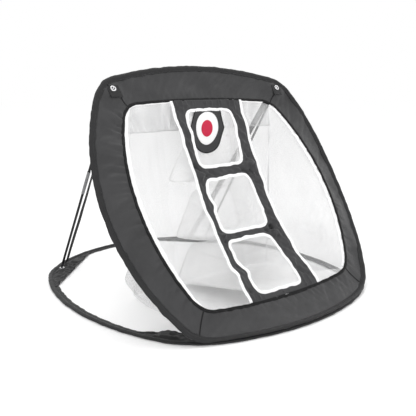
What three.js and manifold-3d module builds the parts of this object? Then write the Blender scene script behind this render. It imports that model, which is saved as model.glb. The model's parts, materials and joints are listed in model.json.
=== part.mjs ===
// Pop-up golf chipping net: a sprung face hoop that leans back from a sprung base hoop,
// held up by two shock-corded poles. Black nylon border and centre band, three pockets,
// a hanging bullseye flap and a white mesh bag behind. Millimetres, +Z up, front is -Y.

import * as THREE from 'three';
import { mergeVertices } from 'three/addons/utils/BufferGeometryUtils.js';
import Module from 'manifold-3d';

const wasm = await Module();
wasm.setup();

// ---------- driving dimensions ----------
const CLEAR = 0.4;                 // gap between pieces that touch
const SHEET = 1.2;                 // thickness of a nylon panel
const MESH_SHEET = 0.9;            // thickness of a mesh panel

const LEAN = THREE.MathUtils.degToRad(33);  // face angle away from vertical
const FACE_BOTTOM_WIDTH = 560;     // between the lower corners of the face hoop
const FACE_TOP_WIDTH = 582;        // between the upper corners
const FACE_SLANT = 647;            // lower corner to upper corner, along the face
const FACE_SIDE_BULGE = 103;       // each side bows out by this much
const FACE_SIDE_BOW = 25;          // and back, out of the plane of the corners
const FACE_TOP_BULGE = 42;
const FRONT_BULGE = 64;            // front edge bows forward on the ground
const FACE_CORNER_CUT = 30;        // where the rounding of a hoop corner starts

const BASE_DEPTH = 710;            // front corner to rear corner
const BASE_REAR_WIDTH = 556;
const BASE_SIDE_BULGE = 116;
const BASE_REAR_BULGE = 103;
const BASE_CORNER_CUT = 55;

const WIRE_R = 1.25;               // spring steel wire in both hoops
const CRIMP_LENGTH = 30;           // crimp tube that joins the wire's ends
const CRIMP_WALL = 0.6;
const HEM_HALF_WIDTH = 6;          // fabric sleeve around the wire
const HEM_HALF_THICK = 3.3;
const HEM_BORE_HALF_WIDTH = 3.6;
const HEM_BORE_HALF_THICK = 2.4;
const BORDER_GAP = 1.4;            // border panel starts this far inside the sleeve
const HEM_TAIL = 12;               // flat seam allowance inside the base sleeve

const OPEN_TOP = FACE_SLANT - 55;  // inner edge of the border, along the face
const OPEN_TOP_HALF = FACE_TOP_WIDTH / 2 - 47;
const OPEN_TOP_RISE = 11;
const OPEN_TOP_SET = 14;           // middle of the top inner edge is pulled back
const OPEN_BOTTOM = 54;
const OPEN_BOTTOM_HALF = FACE_BOTTOM_WIDTH / 2 - 34;
const OPEN_BOTTOM_DIP = 18;
const OPEN_SIDE_BULGE = FACE_SIDE_BULGE - 32;
const OPEN_CORNER_CUT = 34;
const BLACK_TAPE = 5;              // binding on the border's inner edge
const WHITE_TAPE = 7;              // binding round the two side openings
const POCKET_TAPE = 6;             // binding round each pocket
const TAPE_THICK = 2;

const BAND_X = 10;                 // centre band, sewn in a little to the right of the middle
const BAND_END_HALF = 115;         // its half width at its ends
const BAND_WAIST = 7;              // it narrows by this much halfway up
const BAND_SAG = 40;               // and sags back like a hammock
const BAND_BOTTOM_GAP = 6.2;       // its straight ends stop short of the curved binding
const BAND_TOP_GAP = 3;
const alongOpening = (share) => OPEN_BOTTOM + share * (OPEN_TOP - OPEN_BOTTOM);
const POCKETS = [                  // place on the band, then how deep and low each net hangs
  { name: 'top', bottom: alongOpening(0.669), top: alongOpening(0.97), x: 4, half: 77, depth: 76, drop: 40 },
  { name: 'middle', bottom: alongOpening(0.332), top: alongOpening(0.619), x: -2, half: 82, depth: 48, drop: 38 },
  { name: 'bottom', bottom: alongOpening(0.01), top: alongOpening(0.29), x: 1, half: 76, depth: 46, drop: 10 },
];
const POCKET_RADIUS = 20;

const NET_BEHIND = 6.5;            // where the bag is sewn on, behind the binding
const NET_BILLOW = 62;             // back net stands behind the pocket nets
const NET_BULGE = 34;              // side nets bulge outward near the ground
const NET_REAR_Y = OPEN_TOP * Math.sin(LEAN) + 18;  // back net's lower edge
const NET_REAR_HALF = 236;
const NET_FLOOR_Z = 9;

const GROMMET_BORE = 4.2;
const GROMMET_FLANGE = 7.8;
const GROMMET_METAL = 0.8;
const EYELET_HOLE = GROMMET_BORE + 1.4;  // radius cut in the cloth for an eyelet's barrel
const FACE_GROMMET_S = FACE_SLANT - 22;  // along the face
const POLE_X = BASE_REAR_WIDTH / 2 - 3;  // both grommets of a pole stand at this half width
const BASE_GROMMET_Y = BASE_DEPTH - 29;
const PATCH_SIZE = 34;
const PATCH_CHAMFER = 12;          // outer corner, clear of the hoop's rounding

const POLE_R = 3;
const POLE_BORE = 1.9;
const SHOCK_CORD_R = 1.2;
const FERRULE_LENGTH = 76;
const FERRULE_WALL = 0.6;
const FERRULE_PLACE = 0.53;        // share of the pole below the ferrule's middle
const CAP_R = POLE_R + 0.6;
const CAP_LENGTH = 16;
const POLE_END_GAP = 6.5;          // pole's upper end stops this far below the face
const TIP_R = GROMMET_BORE - 2.2;  // thin enough to lean in the eyelet
const TIP_PROUD = 8;

const FLAP_TOP_WIDTH = 92;
const FLAP_WIDTH = 116;
const FLAP_HEIGHT = 117;
const FLAP_SHOULDER = 42;          // widest place, below the hinge line
const FLAP_BEHIND = 4;             // hinge line behind the band
const BULL_CENTRE = 51;            // below the hinge line
const BULL_WHITE_R = 40;
const BULL_RED_R = 20.5;
const BULL_THICK = 0.8;

const STRAP_WIDTH = 12;
const STRAP_TOP_X = POLE_X - 15;
const STRAP_BASE_X = POLE_X - 35;
const STRAP_BASE_Y = BASE_DEPTH + 12;

// ---------- places worked out from them ----------
const WIRE_Z = HEM_HALF_THICK;                            // base wire above the ground
const HINGE_Z = 2 * HEM_HALF_THICK + 0.6 + HEM_HALF_THICK; // face hoop lies on the base hem
const GUSSET_Z = 2.8;                                     // gusset lies on the hem's tail
const GUSSET_TOP = GUSSET_Z + SHEET;
const FRONT_Y = -(FRONT_BULGE + HEM_HALF_WIDTH);
const REAR_Y = BASE_DEPTH + BASE_REAR_BULGE + HEM_HALF_WIDTH;
const ORIGIN_Y = -(FRONT_Y + REAR_Y) / 2;                 // puts the box's centre at y = 0
const UP_FACE = new THREE.Vector3(0, Math.cos(LEAN), Math.sin(LEAN)); // world up in face axes
const OUT = new THREE.Vector3(0, 0, 1);

// ---------- materials ----------
function finish(color, roughness, metalness = 0) {
  return new THREE.MeshStandardMaterial({ color, roughness, metalness });
}
const NYLON = finish(0x3d3d3f, 0.75);
const HEM_CLOTH = finish(0x262628, 0.7);
const BLACK_BINDING = finish(0x1c1c1e, 0.8);
const WHITE_BINDING = finish(0xf4f4f4, 0.8);
const NETTING = finish(0xe6e6e6, 0.7);
const SPRING_STEEL = finish(0x9a9a9c, 0.35, 0.9);
const NICKEL = finish(0xc9c9cb, 0.25, 1);
const GLASS_FIBRE = finish(0x151517, 0.4);
const FERRULE_METAL = finish(0xa8a8aa, 0.3, 0.9);
const RUBBER_CORD = finish(0x2a2a2a, 0.8);
const BLACK_PLASTIC = finish(0x1a1a1b, 0.45);
const RED_CLOTH = finish(0xd82048, 0.7);
const WHITE_CLOTH = finish(0xf5f5f5, 0.7);
const WEBBING = finish(0x1e1e20, 0.75);

// ---------- shape tools ----------
const v3 = (x, y, z) => new THREE.Vector3(x, y, z);

function swell(t, power = 1, skew = 0) {
  const s = t + skew * t * (1 - t);
  return Math.max(4 * s * (1 - s), 0) ** power;
}

// An edge from a to b that swells along one or two directions.
function edge(a, b, bulges) {
  return (t) => {
    const p = a.clone().lerp(b, t);
    for (const { dir, size, power, skew } of bulges) {
      p.addScaledVector(dir, size * swell(t, power, skew));
    }
    return p;
  };
}

// Rounds the corners of a loop of edges. Each side runs from mid corner to mid corner.
function roundedSides(edges, cut, edgeSteps = 8, cornerSteps = 2) {
  const spans = edges.map((e) => {
    const length = e(0).distanceTo(e(1));
    return { e, from: cut / length, to: 1 - cut / length };
  });
  const corner = (a, b) => new THREE.QuadraticBezierCurve3(a.e(a.to), a.e(1), b.e(b.from));
  return spans.map((span, i) => {
    const before = corner(spans[(i + spans.length - 1) % spans.length], span);
    const after = corner(span, spans[(i + 1) % spans.length]);
    const points = [];
    for (let k = 0; k < cornerSteps; k++) points.push(before.getPoint(0.5 + (0.5 * k) / cornerSteps));
    for (let k = 0; k <= edgeSteps; k++) {
      points.push(span.e(span.from + ((span.to - span.from) * k) / edgeSteps));
    }
    for (let k = 1; k <= cornerSteps; k++) points.push(after.getPoint((0.5 * k) / cornerSteps));
    return points;
  });
}

function loopOf(sides) {
  return sides.flatMap((side) => side.slice(0, -1));
}

// Moves a closed loop inward, in the plane across `normal`.
function inset(loop, distance, normal = OUT) {
  return loop.map((p, i) => {
    const into = p.clone().sub(loop[(i + loop.length - 1) % loop.length]);
    const away = loop[(i + 1) % loop.length].clone().sub(p);
    const n1 = normal.clone().cross(into).normalize();
    const n2 = normal.clone().cross(away).normalize();
    const mean = n1.clone().add(n2).normalize();
    return p.clone().addScaledVector(mean, distance / Math.max(mean.dot(n1), 0.5));
  });
}

// Draws both ends of an open run of points in by `distance`.
function trimmed(points, distance) {
  const run = points.map((p) => p.clone());
  const last = run.length - 1;
  run[0].add(run[1].clone().sub(run[0]).setLength(distance));
  run[last].add(run[last - 1].clone().sub(run[last]).setLength(distance));
  return run;
}

function solid(positions, triangles) {
  const geometry = new THREE.BufferGeometry();
  const flat = positions.flatMap((p) => [p.x, p.y, p.z]);
  geometry.setAttribute('position', new THREE.Float32BufferAttribute(flat, 3));
  geometry.setIndex(triangles);
  if (signedVolume(geometry) < 0) geometry.setIndex(triangles.toReversed());
  return geometry;
}

function signedVolume(geometry) {
  const p = geometry.getAttribute('position');
  const index = geometry.getIndex();
  const at = (i) => v3().fromBufferAttribute(p, index.getX(i));
  let sum = 0;
  for (let i = 0; i < index.count; i += 3) sum += at(i).dot(at(i + 1).cross(at(i + 2)));
  return sum / 6;
}

const quad = (a, b, c, d) => [a, b, c, a, c, d];

// A run of equal rings joined into a skin. Ring i, point j has the index i * size + j.
function skin(ringCount, size, start, inward, closed = false) {
  const out = [];
  const last = closed ? ringCount : ringCount - 1;
  for (let i = 0; i < last; i++) {
    for (let j = 0; j < size; j++) {
      const a = start + i * size + j;
      const b = start + i * size + ((j + 1) % size);
      const c = start + ((i + 1) % ringCount) * size + ((j + 1) % size);
      const d = start + ((i + 1) % ringCount) * size + j;
      out.push(...(inward ? quad(a, d, c, b) : quad(a, b, c, d)));
    }
  }
  return out;
}

// Direction of travel at each point of a run, from the points on either side of it.
function headings(path, before = path[0], after = path[path.length - 1]) {
  return path.map((_, i) => {
    const ahead = i + 1 < path.length ? path[i + 1] : after;
    const behind = i > 0 ? path[i - 1] : before;
    return ahead.clone().sub(behind).normalize();
  });
}

// Sweeps a section, with an optional bore, along a run of points. In the section the first
// coordinate points away from the loop's middle and the second along `up`.
function sweep(path, up, section, bore = null, ways = headings(path)) {
  const rings = (outline) => path.flatMap((p, i) => {
    const along = ways[i];
    const away = along.clone().cross(up).normalize();
    const rise = away.clone().cross(along).normalize();
    return outline.map(([u, w]) => p.clone().addScaledVector(away, u).addScaledVector(rise, w));
  });
  const positions = rings(section);
  const triangles = skin(path.length, section.length, 0, false);
  const boreStart = positions.length;
  if (bore) {
    positions.push(...rings(bore));
    triangles.push(...skin(path.length, bore.length, boreStart, true));
  }
  const flat = (list) => list.map(([x, y]) => new THREE.Vector2(x, y));
  const faces = THREE.ShapeUtils.triangulateShape(flat(section), bore ? [flat(bore)] : []);
  const index = (i, end) => (i < section.length
    ? i + end * (path.length - 1) * section.length
    : boreStart + i - section.length + end * (path.length - 1) * bore.length);
  const turned = new THREE.Vector2();
  for (const [a, b, c] of faces) {
    turned.set(index(a, 0), index(b, 0));
    triangles.push(turned.y, turned.x, index(c, 0));
    triangles.push(index(a, 1), index(b, 1), index(c, 1));
  }
  return solid(positions, triangles);
}

// A sheet between equal runs of points: rows[i][j]. Its thickness lies along `across`.
function panel(rows, thickness, across = OUT) {
  const rowCount = rows.length;
  const size = rows[0].length;
  const half = across.clone().multiplyScalar(thickness / 2);
  const positions = [];
  for (const row of rows) positions.push(...row.map((p) => p.clone().add(half)));
  for (const row of rows) positions.push(...row.map((p) => p.clone().sub(half)));
  const back = rowCount * size;
  const triangles = [];
  for (let i = 0; i + 1 < rowCount; i++) {
    for (let j = 0; j + 1 < size; j++) {
      const a = i * size + j;
      triangles.push(...quad(a, a + 1, a + size + 1, a + size));
      triangles.push(...quad(back + a, back + a + size, back + a + size + 1, back + a + 1));
    }
  }
  const rim = [];
  for (let j = 0; j < size - 1; j++) rim.push(j);
  for (let i = 0; i < rowCount - 1; i++) rim.push(i * size + size - 1);
  for (let j = size - 1; j > 0; j--) rim.push((rowCount - 1) * size + j);
  for (let i = rowCount - 1; i > 0; i--) rim.push(i * size);
  rim.forEach((a, k) => {
    const b = rim[(k + 1) % rim.length];
    triangles.push(...quad(a, back + a, back + b, b));
  });
  return solid(positions, triangles);
}

// Sheet between two runs of points, with straight ruling from one to the other.
function ruled(from, to, steps, thickness, across = OUT) {
  const rows = [];
  for (let k = 0; k <= steps; k++) rows.push(from.map((p, i) => p.clone().lerp(to[i], k / steps)));
  return panel(rows, thickness, across);
}

// A closed tape between a loop and the same loop moved inward.
function tapeRing(loop, width, thickness) {
  const inner = inset(loop, width);
  const half = thickness / 2;
  const positions = loop.flatMap((p, i) => [
    p.clone().addScaledVector(OUT, half), inner[i].clone().addScaledVector(OUT, half),
    inner[i].clone().addScaledVector(OUT, -half), p.clone().addScaledVector(OUT, -half),
  ]);
  return solid(positions, skin(loop.length, 4, 0, false, true));
}

function toManifold(geometry) {
  const bare = geometry.clone();
  bare.deleteAttribute('normal');
  bare.deleteAttribute('uv');
  const merged = mergeVertices(bare, 1e-4);
  const vertProperties = new Float32Array(merged.getAttribute('position').array);
  const triVerts = new Uint32Array(merged.getIndex().array);
  return new wasm.Manifold(new wasm.Mesh({ numProp: 3, vertProperties, triVerts }));
}

function cut(geometry, ...tools) {
  let body = toManifold(geometry);
  for (const tool of tools) body = body.subtract(toManifold(tool));
  const mesh = body.getMesh();
  const result = new THREE.BufferGeometry();
  result.setAttribute('position', new THREE.Float32BufferAttribute(mesh.vertProperties, 3));
  result.setIndex(Array.from(mesh.triVerts));
  return result;
}

function post(x, y, radius, height, sides = 14) {
  const geometry = new THREE.CylinderGeometry(radius, radius, height, sides);
  return geometry.rotateX(Math.PI / 2).translate(x, y, 0);
}

function lathe(profile, segments = 16) {
  const points = profile.map(([r, y]) => new THREE.Vector2(r, y));
  return new THREE.LatheGeometry(points, segments);
}

function tube(inner, outer, from, to, segments = 12) {
  return lathe([[inner, from], [outer, from], [outer, to], [inner, to], [inner, from]], segments);
}

function named(name, geometry, material) {
  const mesh = new THREE.Mesh(geometry, material);
  mesh.name = name;
  return mesh;
}

// ---------- hoops ----------
const ELLIPSE = (halfWidth, halfThick, sides) => Array.from({ length: sides }, (_, k) => {
  const angle = ((k + 0.5) * 2 * Math.PI) / sides;
  const spread = 1 / Math.cos(Math.PI / sides);
  return [halfWidth * spread * Math.cos(angle), halfThick * spread * Math.sin(angle)];
});
const HEM_SECTION = ELLIPSE(HEM_HALF_WIDTH, HEM_HALF_THICK, 8);
const HEM_BORE = ELLIPSE(HEM_BORE_HALF_WIDTH, HEM_BORE_HALF_THICK, 6);
const WIRE_SECTION = ELLIPSE(WIRE_R, WIRE_R, 6);
const CRIMP_SECTION = ELLIPSE(WIRE_R + CLEAR + CRIMP_WALL, WIRE_R + CLEAR + CRIMP_WALL, 8);
const CRIMP_BORE = ELLIPSE(WIRE_R + CLEAR, WIRE_R + CLEAR, 8);

// The base sleeve has a flat underside and a seam allowance on its inner side.
function baseHemSection() {
  const w = HEM_HALF_WIDTH;
  const h = HEM_HALF_THICK;
  const tail = -w - HEM_TAIL;
  const tailBottom = 1.2 - h;
  const tailTop = 2.4 - h;
  return [
    [tail, tailBottom], [-w, tailBottom], [-w / 2, -h], [w / 2, -h], [w, -h / 2], [w, h / 2],
    [w / 2, h], [-w / 2, h], [-w, h / 2], [-w, tailTop], [tail, tailTop],
  ];
}

// The wire runs the whole way round, with its ends inside a crimp at the middle of `seam`.
function wireRun(sides, seam) {
  const order = [...sides.slice(seam), ...sides.slice(0, seam)];
  const loop = loopOf(order);
  const middle = (sides[seam].length - 1) / 2;
  const run = [...loop.slice(middle), ...loop.slice(0, middle + 1)].map((p) => p.clone());
  return trimmed(run, 1);
}

function crimp(side, up) {
  const m = (side.length - 1) / 2;
  const arm = (q) => side[m].clone().add(q.clone().sub(side[m]).setLength(CRIMP_LENGTH / 2));
  return sweep([arm(side[m - 1]), side[m], arm(side[m + 1])], up, CRIMP_SECTION, CRIMP_BORE);
}

const X = v3(1, 0, 0);
const Y = v3(0, 1, 0);
const Z = v3(0, 0, 1);
const SIDE_POWER = 0.8;            // sides are flatter in the middle than an arc

function faceEdges() {
  const lowLeft = v3(-FACE_BOTTOM_WIDTH / 2, 0, 0);
  const lowRight = v3(FACE_BOTTOM_WIDTH / 2, 0, 0);
  const topLeft = v3(-FACE_TOP_WIDTH / 2, FACE_SLANT, 0);
  const topRight = v3(FACE_TOP_WIDTH / 2, FACE_SLANT, 0);
  const forward = v3(0, -Math.sin(LEAN), Math.cos(LEAN));  // world -Y in face axes
  const side = (dir) => [
    { dir, size: FACE_SIDE_BULGE, power: SIDE_POWER },
    { dir: OUT.clone().negate(), size: FACE_SIDE_BOW, power: 1.5 },
  ];
  return [
    edge(lowLeft, lowRight, [{ dir: forward, size: FRONT_BULGE, power: 1 }]),
    edge(lowRight, topRight, side(X)),
    edge(topRight, topLeft, [{ dir: Y, size: FACE_TOP_BULGE, power: 1 }]),
    edge(topLeft, lowLeft, side(X.clone().negate())),
  ];
}

function openingEdges() {
  const lowLeft = v3(-OPEN_BOTTOM_HALF, OPEN_BOTTOM, 0);
  const lowRight = v3(OPEN_BOTTOM_HALF, OPEN_BOTTOM, 0);
  const topLeft = v3(-OPEN_TOP_HALF, OPEN_TOP, 0);
  const topRight = v3(OPEN_TOP_HALF, OPEN_TOP, 0);
  const down = Y.clone().negate();
  return [
    edge(lowLeft, lowRight, [{ dir: down, size: OPEN_BOTTOM_DIP, power: 1 }]),
    edge(lowRight, topRight, [{ dir: X, size: OPEN_SIDE_BULGE, power: 0.9 }]),
    edge(topRight, topLeft, [
      { dir: Y, size: OPEN_TOP_RISE, power: 1 },
      { dir: OUT.clone().negate(), size: OPEN_TOP_SET, power: 2 },
    ]),
    edge(topLeft, lowLeft, [{ dir: X.clone().negate(), size: OPEN_SIDE_BULGE, power: 0.9 }]),
  ];
}

function baseEdges() {
  const frontLeft = v3(-FACE_BOTTOM_WIDTH / 2, 0, WIRE_Z);
  const frontRight = v3(FACE_BOTTOM_WIDTH / 2, 0, WIRE_Z);
  const rearLeft = v3(-BASE_REAR_WIDTH / 2, BASE_DEPTH, WIRE_Z);
  const rearRight = v3(BASE_REAR_WIDTH / 2, BASE_DEPTH, WIRE_Z);
  const bow = (dir) => [{ dir, size: BASE_SIDE_BULGE, power: SIDE_POWER }];
  return [
    edge(frontLeft, frontRight, [{ dir: Y.clone().negate(), size: FRONT_BULGE, power: 1 }]),
    edge(frontRight, rearRight, bow(X)),
    edge(rearRight, rearLeft, [{ dir: Y, size: BASE_REAR_BULGE, power: 1 }]),
    edge(rearLeft, frontLeft, bow(X.clone().negate())),
  ];
}

// Directions along side i of a loop, with its ends square to the middle of each corner.
function sideWays(sides, i) {
  const before = sides[(i + sides.length - 1) % sides.length];
  const after = sides[(i + 1) % sides.length];
  return headings(sides[i], before[before.length - 2], after[1]);
}

const SIDE_NAMES = ['bottom', 'right', 'top', 'left'];
const BASE_NAMES = ['front', 'right', 'rear', 'left'];
const FACE_SIDES = roundedSides(faceEdges(), FACE_CORNER_CUT);
const OPEN_SIDES = roundedSides(openingEdges(), OPEN_CORNER_CUT);
const BASE_SIDES = roundedSides(baseEdges(), BASE_CORNER_CUT);
const HEM_END_GAP = 0.6;

// ---------- base ----------
function baseHoop() {
  return [
    named('base_hoop_wire', sweep(wireRun(BASE_SIDES, 2), Z, WIRE_SECTION), SPRING_STEEL),
    named('base_hoop_crimp', crimp(BASE_SIDES[2], Z), NICKEL),
  ];
}

function baseHems() {
  const holes = [-1, 1].map((side) => post(side * POLE_X, BASE_GROMMET_Y, EYELET_HOLE, 20));
  return BASE_SIDES.map((side, i) => {
    const ways = sideWays(BASE_SIDES, i);
    const hem = sweep(trimmed(side, HEM_END_GAP), Z, baseHemSection(), HEM_BORE, ways);
    const meetsGrommet = BASE_NAMES[i] !== 'front';
    return named(`base_hem_${BASE_NAMES[i]}`, meetsGrommet ? cut(hem, ...holes) : hem, HEM_CLOTH);
  });
}

// A corner of flat cloth between the sleeve and a straight inner edge. `reach` is how many
// points of the hoop it takes in on each side of the corner.
function gusset(name, before, after, reachBefore, reachAfter, holes) {
  const fromBefore = before.slice(-1 - reachBefore);
  const toAfter = after.slice(1, 1 + reachAfter);
  const rim = [...fromBefore, ...toAfter];
  const closed = inset(rim, HEM_HALF_WIDTH + CLEAR, Z).slice(1, -1);
  const ends = [rim[0], rim[rim.length - 1]].map((p, k) => {
    const toward = rim[k === 0 ? rim.length - 1 : 0].clone().sub(p).setLength(3 * HEM_HALF_WIDTH);
    return p.clone().add(toward);
  });
  const outline = [ends[0], ...closed, ends[1]];
  const shape = new THREE.Shape(outline.map((p) => new THREE.Vector2(p.x, p.y)));
  const plate = new THREE.ExtrudeGeometry(shape, { depth: SHEET, bevelEnabled: false });
  plate.translate(0, 0, GUSSET_Z);
  return named(name, holes.length ? cut(plate, ...holes) : plate, NYLON);
}

function baseGussets() {
  const hole = (side) => post(side * POLE_X, BASE_GROMMET_Y, EYELET_HOLE, 20);
  const [front, right, rear, left] = BASE_SIDES;
  return [
    gusset('base_gusset_rear_right', right, rear, 4, 4, [hole(1)]),
    gusset('base_gusset_rear_left', rear, left, 4, 4, [hole(-1)]),
    gusset('base_gusset_front_right', front, right, 3, 3, []),
    gusset('base_gusset_front_left', left, front, 3, 3, []),
  ];
}

// A two-piece eyelet pressed through cloth that lies between `low` and `high`.
function eyelet(low, high) {
  const barrel = GROMMET_BORE + GROMMET_METAL;
  return lathe([
    [GROMMET_BORE, low - CLEAR - GROMMET_METAL],
    [GROMMET_FLANGE, low - CLEAR - GROMMET_METAL],
    [GROMMET_FLANGE, low - CLEAR],
    [barrel, low - CLEAR],
    [barrel, high + CLEAR],
    [GROMMET_FLANGE, high + CLEAR],
    [GROMMET_FLANGE - 1.2, high + CLEAR + GROMMET_METAL],
    [GROMMET_BORE + 0.6, high + CLEAR + GROMMET_METAL],
    [GROMMET_BORE, high + CLEAR + 0.2],
    [GROMMET_BORE, low - CLEAR - GROMMET_METAL],
  ], 14).rotateX(Math.PI / 2);
}

function baseGrommets() {
  return [['left', -1], ['right', 1]].map(([label, side]) => {
    const ring = named(`base_grommet_${label}`, eyelet(1.3, GUSSET_TOP), NICKEL);
    ring.position.set(side * POLE_X, BASE_GROMMET_Y, 0);
    return ring;
  });
}

// ---------- face, in its own axes: x across, y up the slant, z out of the front ----------
function faceHoop() {
  return [
    named('face_hoop_wire', sweep(wireRun(FACE_SIDES, 2), OUT, WIRE_SECTION), SPRING_STEEL),
    named('face_hoop_crimp', crimp(FACE_SIDES[2], OUT), NICKEL),
  ];
}

function faceHems() {
  return FACE_SIDES.map((side, i) => {
    const up = SIDE_NAMES[i] === 'bottom' ? UP_FACE : OUT;
    const ways = sideWays(FACE_SIDES, i);
    const hem = sweep(trimmed(side, HEM_END_GAP), up, HEM_SECTION, HEM_BORE, ways);
    return named(`face_hem_${SIDE_NAMES[i]}`, hem, HEM_CLOTH);
  });
}

const FACE_HOLES = [-1, 1].map((side) => (
  post(side * POLE_X, FACE_GROMMET_S, EYELET_HOLE, 40)));

function faceBorders() {
  const outerLoop = inset(loopOf(FACE_SIDES), HEM_HALF_WIDTH + BORDER_GAP);
  const per = FACE_SIDES[0].length - 1;
  return FACE_SIDES.map((side, i) => {
    const outer = side.map((_, k) => outerLoop[(i * per + k) % outerLoop.length]);
    const sheet = ruled(trimmed(outer, 0.5), trimmed(OPEN_SIDES[i], 0.5), 3, SHEET);
    const name = `face_border_${SIDE_NAMES[i]}`;
    return named(name, SIDE_NAMES[i] === 'bottom' ? sheet : cut(sheet, ...FACE_HOLES), NYLON);
  });
}

const OPEN_LOOP = loopOf(OPEN_SIDES);

function openingTapes() {
  const tapeLoop = inset(OPEN_LOOP, CLEAR);
  const black = named('inner_binding', tapeRing(tapeLoop, BLACK_TAPE, TAPE_THICK), BLACK_BINDING);
  const whites = [['left', -1], ['right', 1]].map(([label, side]) => {
    const ring = tapeRing(sideOpening(side), WHITE_TAPE, TAPE_THICK);
    return named(`opening_binding_${label}`, ring, WHITE_BINDING);
  });
  return [black, ...whites];
}

// ---------- centre band ----------
const BAND_BOTTOM = OPEN_BOTTOM - OPEN_BOTTOM_DIP + BLACK_TAPE + 3 * CLEAR + BAND_BOTTOM_GAP;
const BAND_TOP = OPEN_TOP + OPEN_TOP_RISE - BLACK_TAPE - 3 * CLEAR - BAND_TOP_GAP;

// The set of the border's top edge where the band's outer corner is sewn to it.
const BAND_TOP_SET = OPEN_TOP_SET * swell((OPEN_TOP_HALF + BAND_X + BAND_END_HALF) / (2 * OPEN_TOP_HALF));

function bandShare(s) {
  return THREE.MathUtils.clamp((s - BAND_BOTTOM) / (BAND_TOP - BAND_BOTTOM), 0, 1);
}

function bandHalf(s) {
  return BAND_END_HALF - BAND_WAIST * swell(bandShare(s));
}

function bandDepth(s) {
  const share = bandShare(s);
  const sag = Math.sin(Math.PI * share ** 0.77) * Math.tanh(7 * share);
  return -(BAND_TOP_SET * share + BAND_SAG * sag);
}

const BAND_ROWS = 14;

function bandEdge(side, beyond = 0) {
  return Array.from({ length: BAND_ROWS + 1 }, (_, k) => {
    const s = BAND_BOTTOM + ((BAND_TOP - BAND_BOTTOM) * k) / BAND_ROWS;
    return v3(BAND_X + side * (bandHalf(s) + beyond), s, bandDepth(s));
  });
}

function roundedRect(x0, y0, x1, y1, radius) {
  const shape = new THREE.Shape();
  shape.moveTo(x0 + radius, y0);
  shape.lineTo(x1 - radius, y0);
  shape.absarc(x1 - radius, y0 + radius, radius, -Math.PI / 2, 0);
  shape.lineTo(x1, y1 - radius);
  shape.absarc(x1 - radius, y1 - radius, radius, 0, Math.PI / 2);
  shape.lineTo(x0 + radius, y1);
  shape.absarc(x0 + radius, y1 - radius, radius, Math.PI / 2, Math.PI);
  shape.lineTo(x0, y0 + radius);
  shape.absarc(x0 + radius, y0 + radius, radius, Math.PI, Math.PI * 1.5);
  return shape;
}

function pocketShape({ bottom, top, x, half }, grow = 0) {
  const wide = half + grow;
  return roundedRect(x - wide, bottom - grow, x + wide, top + grow, POCKET_RADIUS + grow);
}

// Points round a pocket's edge, with the long straight runs broken up to follow the sag.
function pocketLoop(pocket, grow = 0) {
  const outline = pocketShape(pocket, grow).getPoints(4);
  const corners = outline.filter((p, i) => (
    p.distanceTo(outline[(i + outline.length - 1) % outline.length]) > CLEAR / 4));
  return corners.flatMap((p, i) => {
    const q = corners[(i + 1) % corners.length];
    const pieces = Math.max(1, Math.round(p.distanceTo(q) / 34));
    return Array.from({ length: pieces }, (_, k) => {
      const at = p.clone().lerp(q, k / pieces);
      return v3(at.x, at.y, bandDepth(at.y));
    });
  });
}

function centerBand() {
  const sheet = ruled(bandEdge(-1), bandEdge(1), 2, SHEET);
  const cutters = POCKETS.map((pocket) => {
    const shape = pocketShape(pocket, CLEAR);
    const block = new THREE.ExtrudeGeometry(shape, { depth: 160, bevelEnabled: false, curveSegments: 5 });
    return block.translate(0, 0, -110);
  });
  return named('center_band', cut(sheet, ...cutters), NYLON);
}

function pocketTapes() {
  return POCKETS.map((pocket) => {
    const ring = tapeRing(pocketLoop(pocket), POCKET_TAPE, TAPE_THICK);
    return named(`pocket_binding_${pocket.name}`, ring, WHITE_BINDING);
  });
}

// The outline of a side opening: round the border's inner edge, then along the band.
function sideOpening(side) {
  const border = inset(OPEN_LOOP, BLACK_TAPE + 2 * CLEAR);
  const beyond = (p) => side * (p.x - BAND_X) > bandHalf(p.y) + CLEAR + 3;
  const start = border.findIndex((p, i) => (
    beyond(p) && !beyond(border[(i + border.length - 1) % border.length])));
  const arc = [];
  for (let k = 0; k < border.length && beyond(border[(start + k) % border.length]); k++) {
    arc.push(border[(start + k) % border.length]);
  }
  const band = bandEdge(side, CLEAR);
  const inner = side > 0 ? band.toReversed() : band;
  return [...arc, ...inner];
}

// ---------- nets ----------
// A bag of mesh: an outer and an inner skin, open at the rim and closed at the far end.
function meshBag(rings) {
  const size = rings[0].length;
  const inner = rings.map((ring) => inset(ring, MESH_SHEET));
  inner[inner.length - 1].forEach((p) => p.addScaledVector(OUT, MESH_SHEET));
  const positions = [...rings.flat(), ...inner.flat()];
  const start = rings.length * size;
  const triangles = [...skin(rings.length, size, 0, false), ...skin(rings.length, size, start, true)];
  const flat = rings[rings.length - 1].map((p) => new THREE.Vector2(p.x, p.y));
  const far = (rings.length - 1) * size;
  for (const [a, b, c] of THREE.ShapeUtils.triangulateShape(flat, [])) {
    triangles.push(far + a, far + b, far + c);
    triangles.push(start + far + b, start + far + a, start + far + c);
  }
  for (let j = 0; j < size; j++) {
    const k = (j + 1) % size;
    triangles.push(...quad(j, start + j, start + k, k));
  }
  return solid(positions, triangles);
}

function pocketNets() {
  const behind = TAPE_THICK / 2 + CLEAR;
  return POCKETS.map((pocket) => {
    const rim = pocketLoop(pocket, -1).map((p) => p.addScaledVector(OUT, -behind));
    const middle = (pocket.bottom + pocket.top) / 2;
    const ring = (depth, drop, narrow) => rim.map((p) => {
      const height = (p.y - middle) * (1 - 0.25 * depth);
      return v3(pocket.x + (p.x - pocket.x) * narrow, middle + height - drop, p.z - pocket.depth * depth);
    });
    const rings = [rim, ring(0.5, pocket.drop * 0.1, 0.98), ring(1, pocket.drop, 0.86)];
    return named(`pocket_net_${pocket.name}`, meshBag(rings), NETTING);
  });
}

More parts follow.
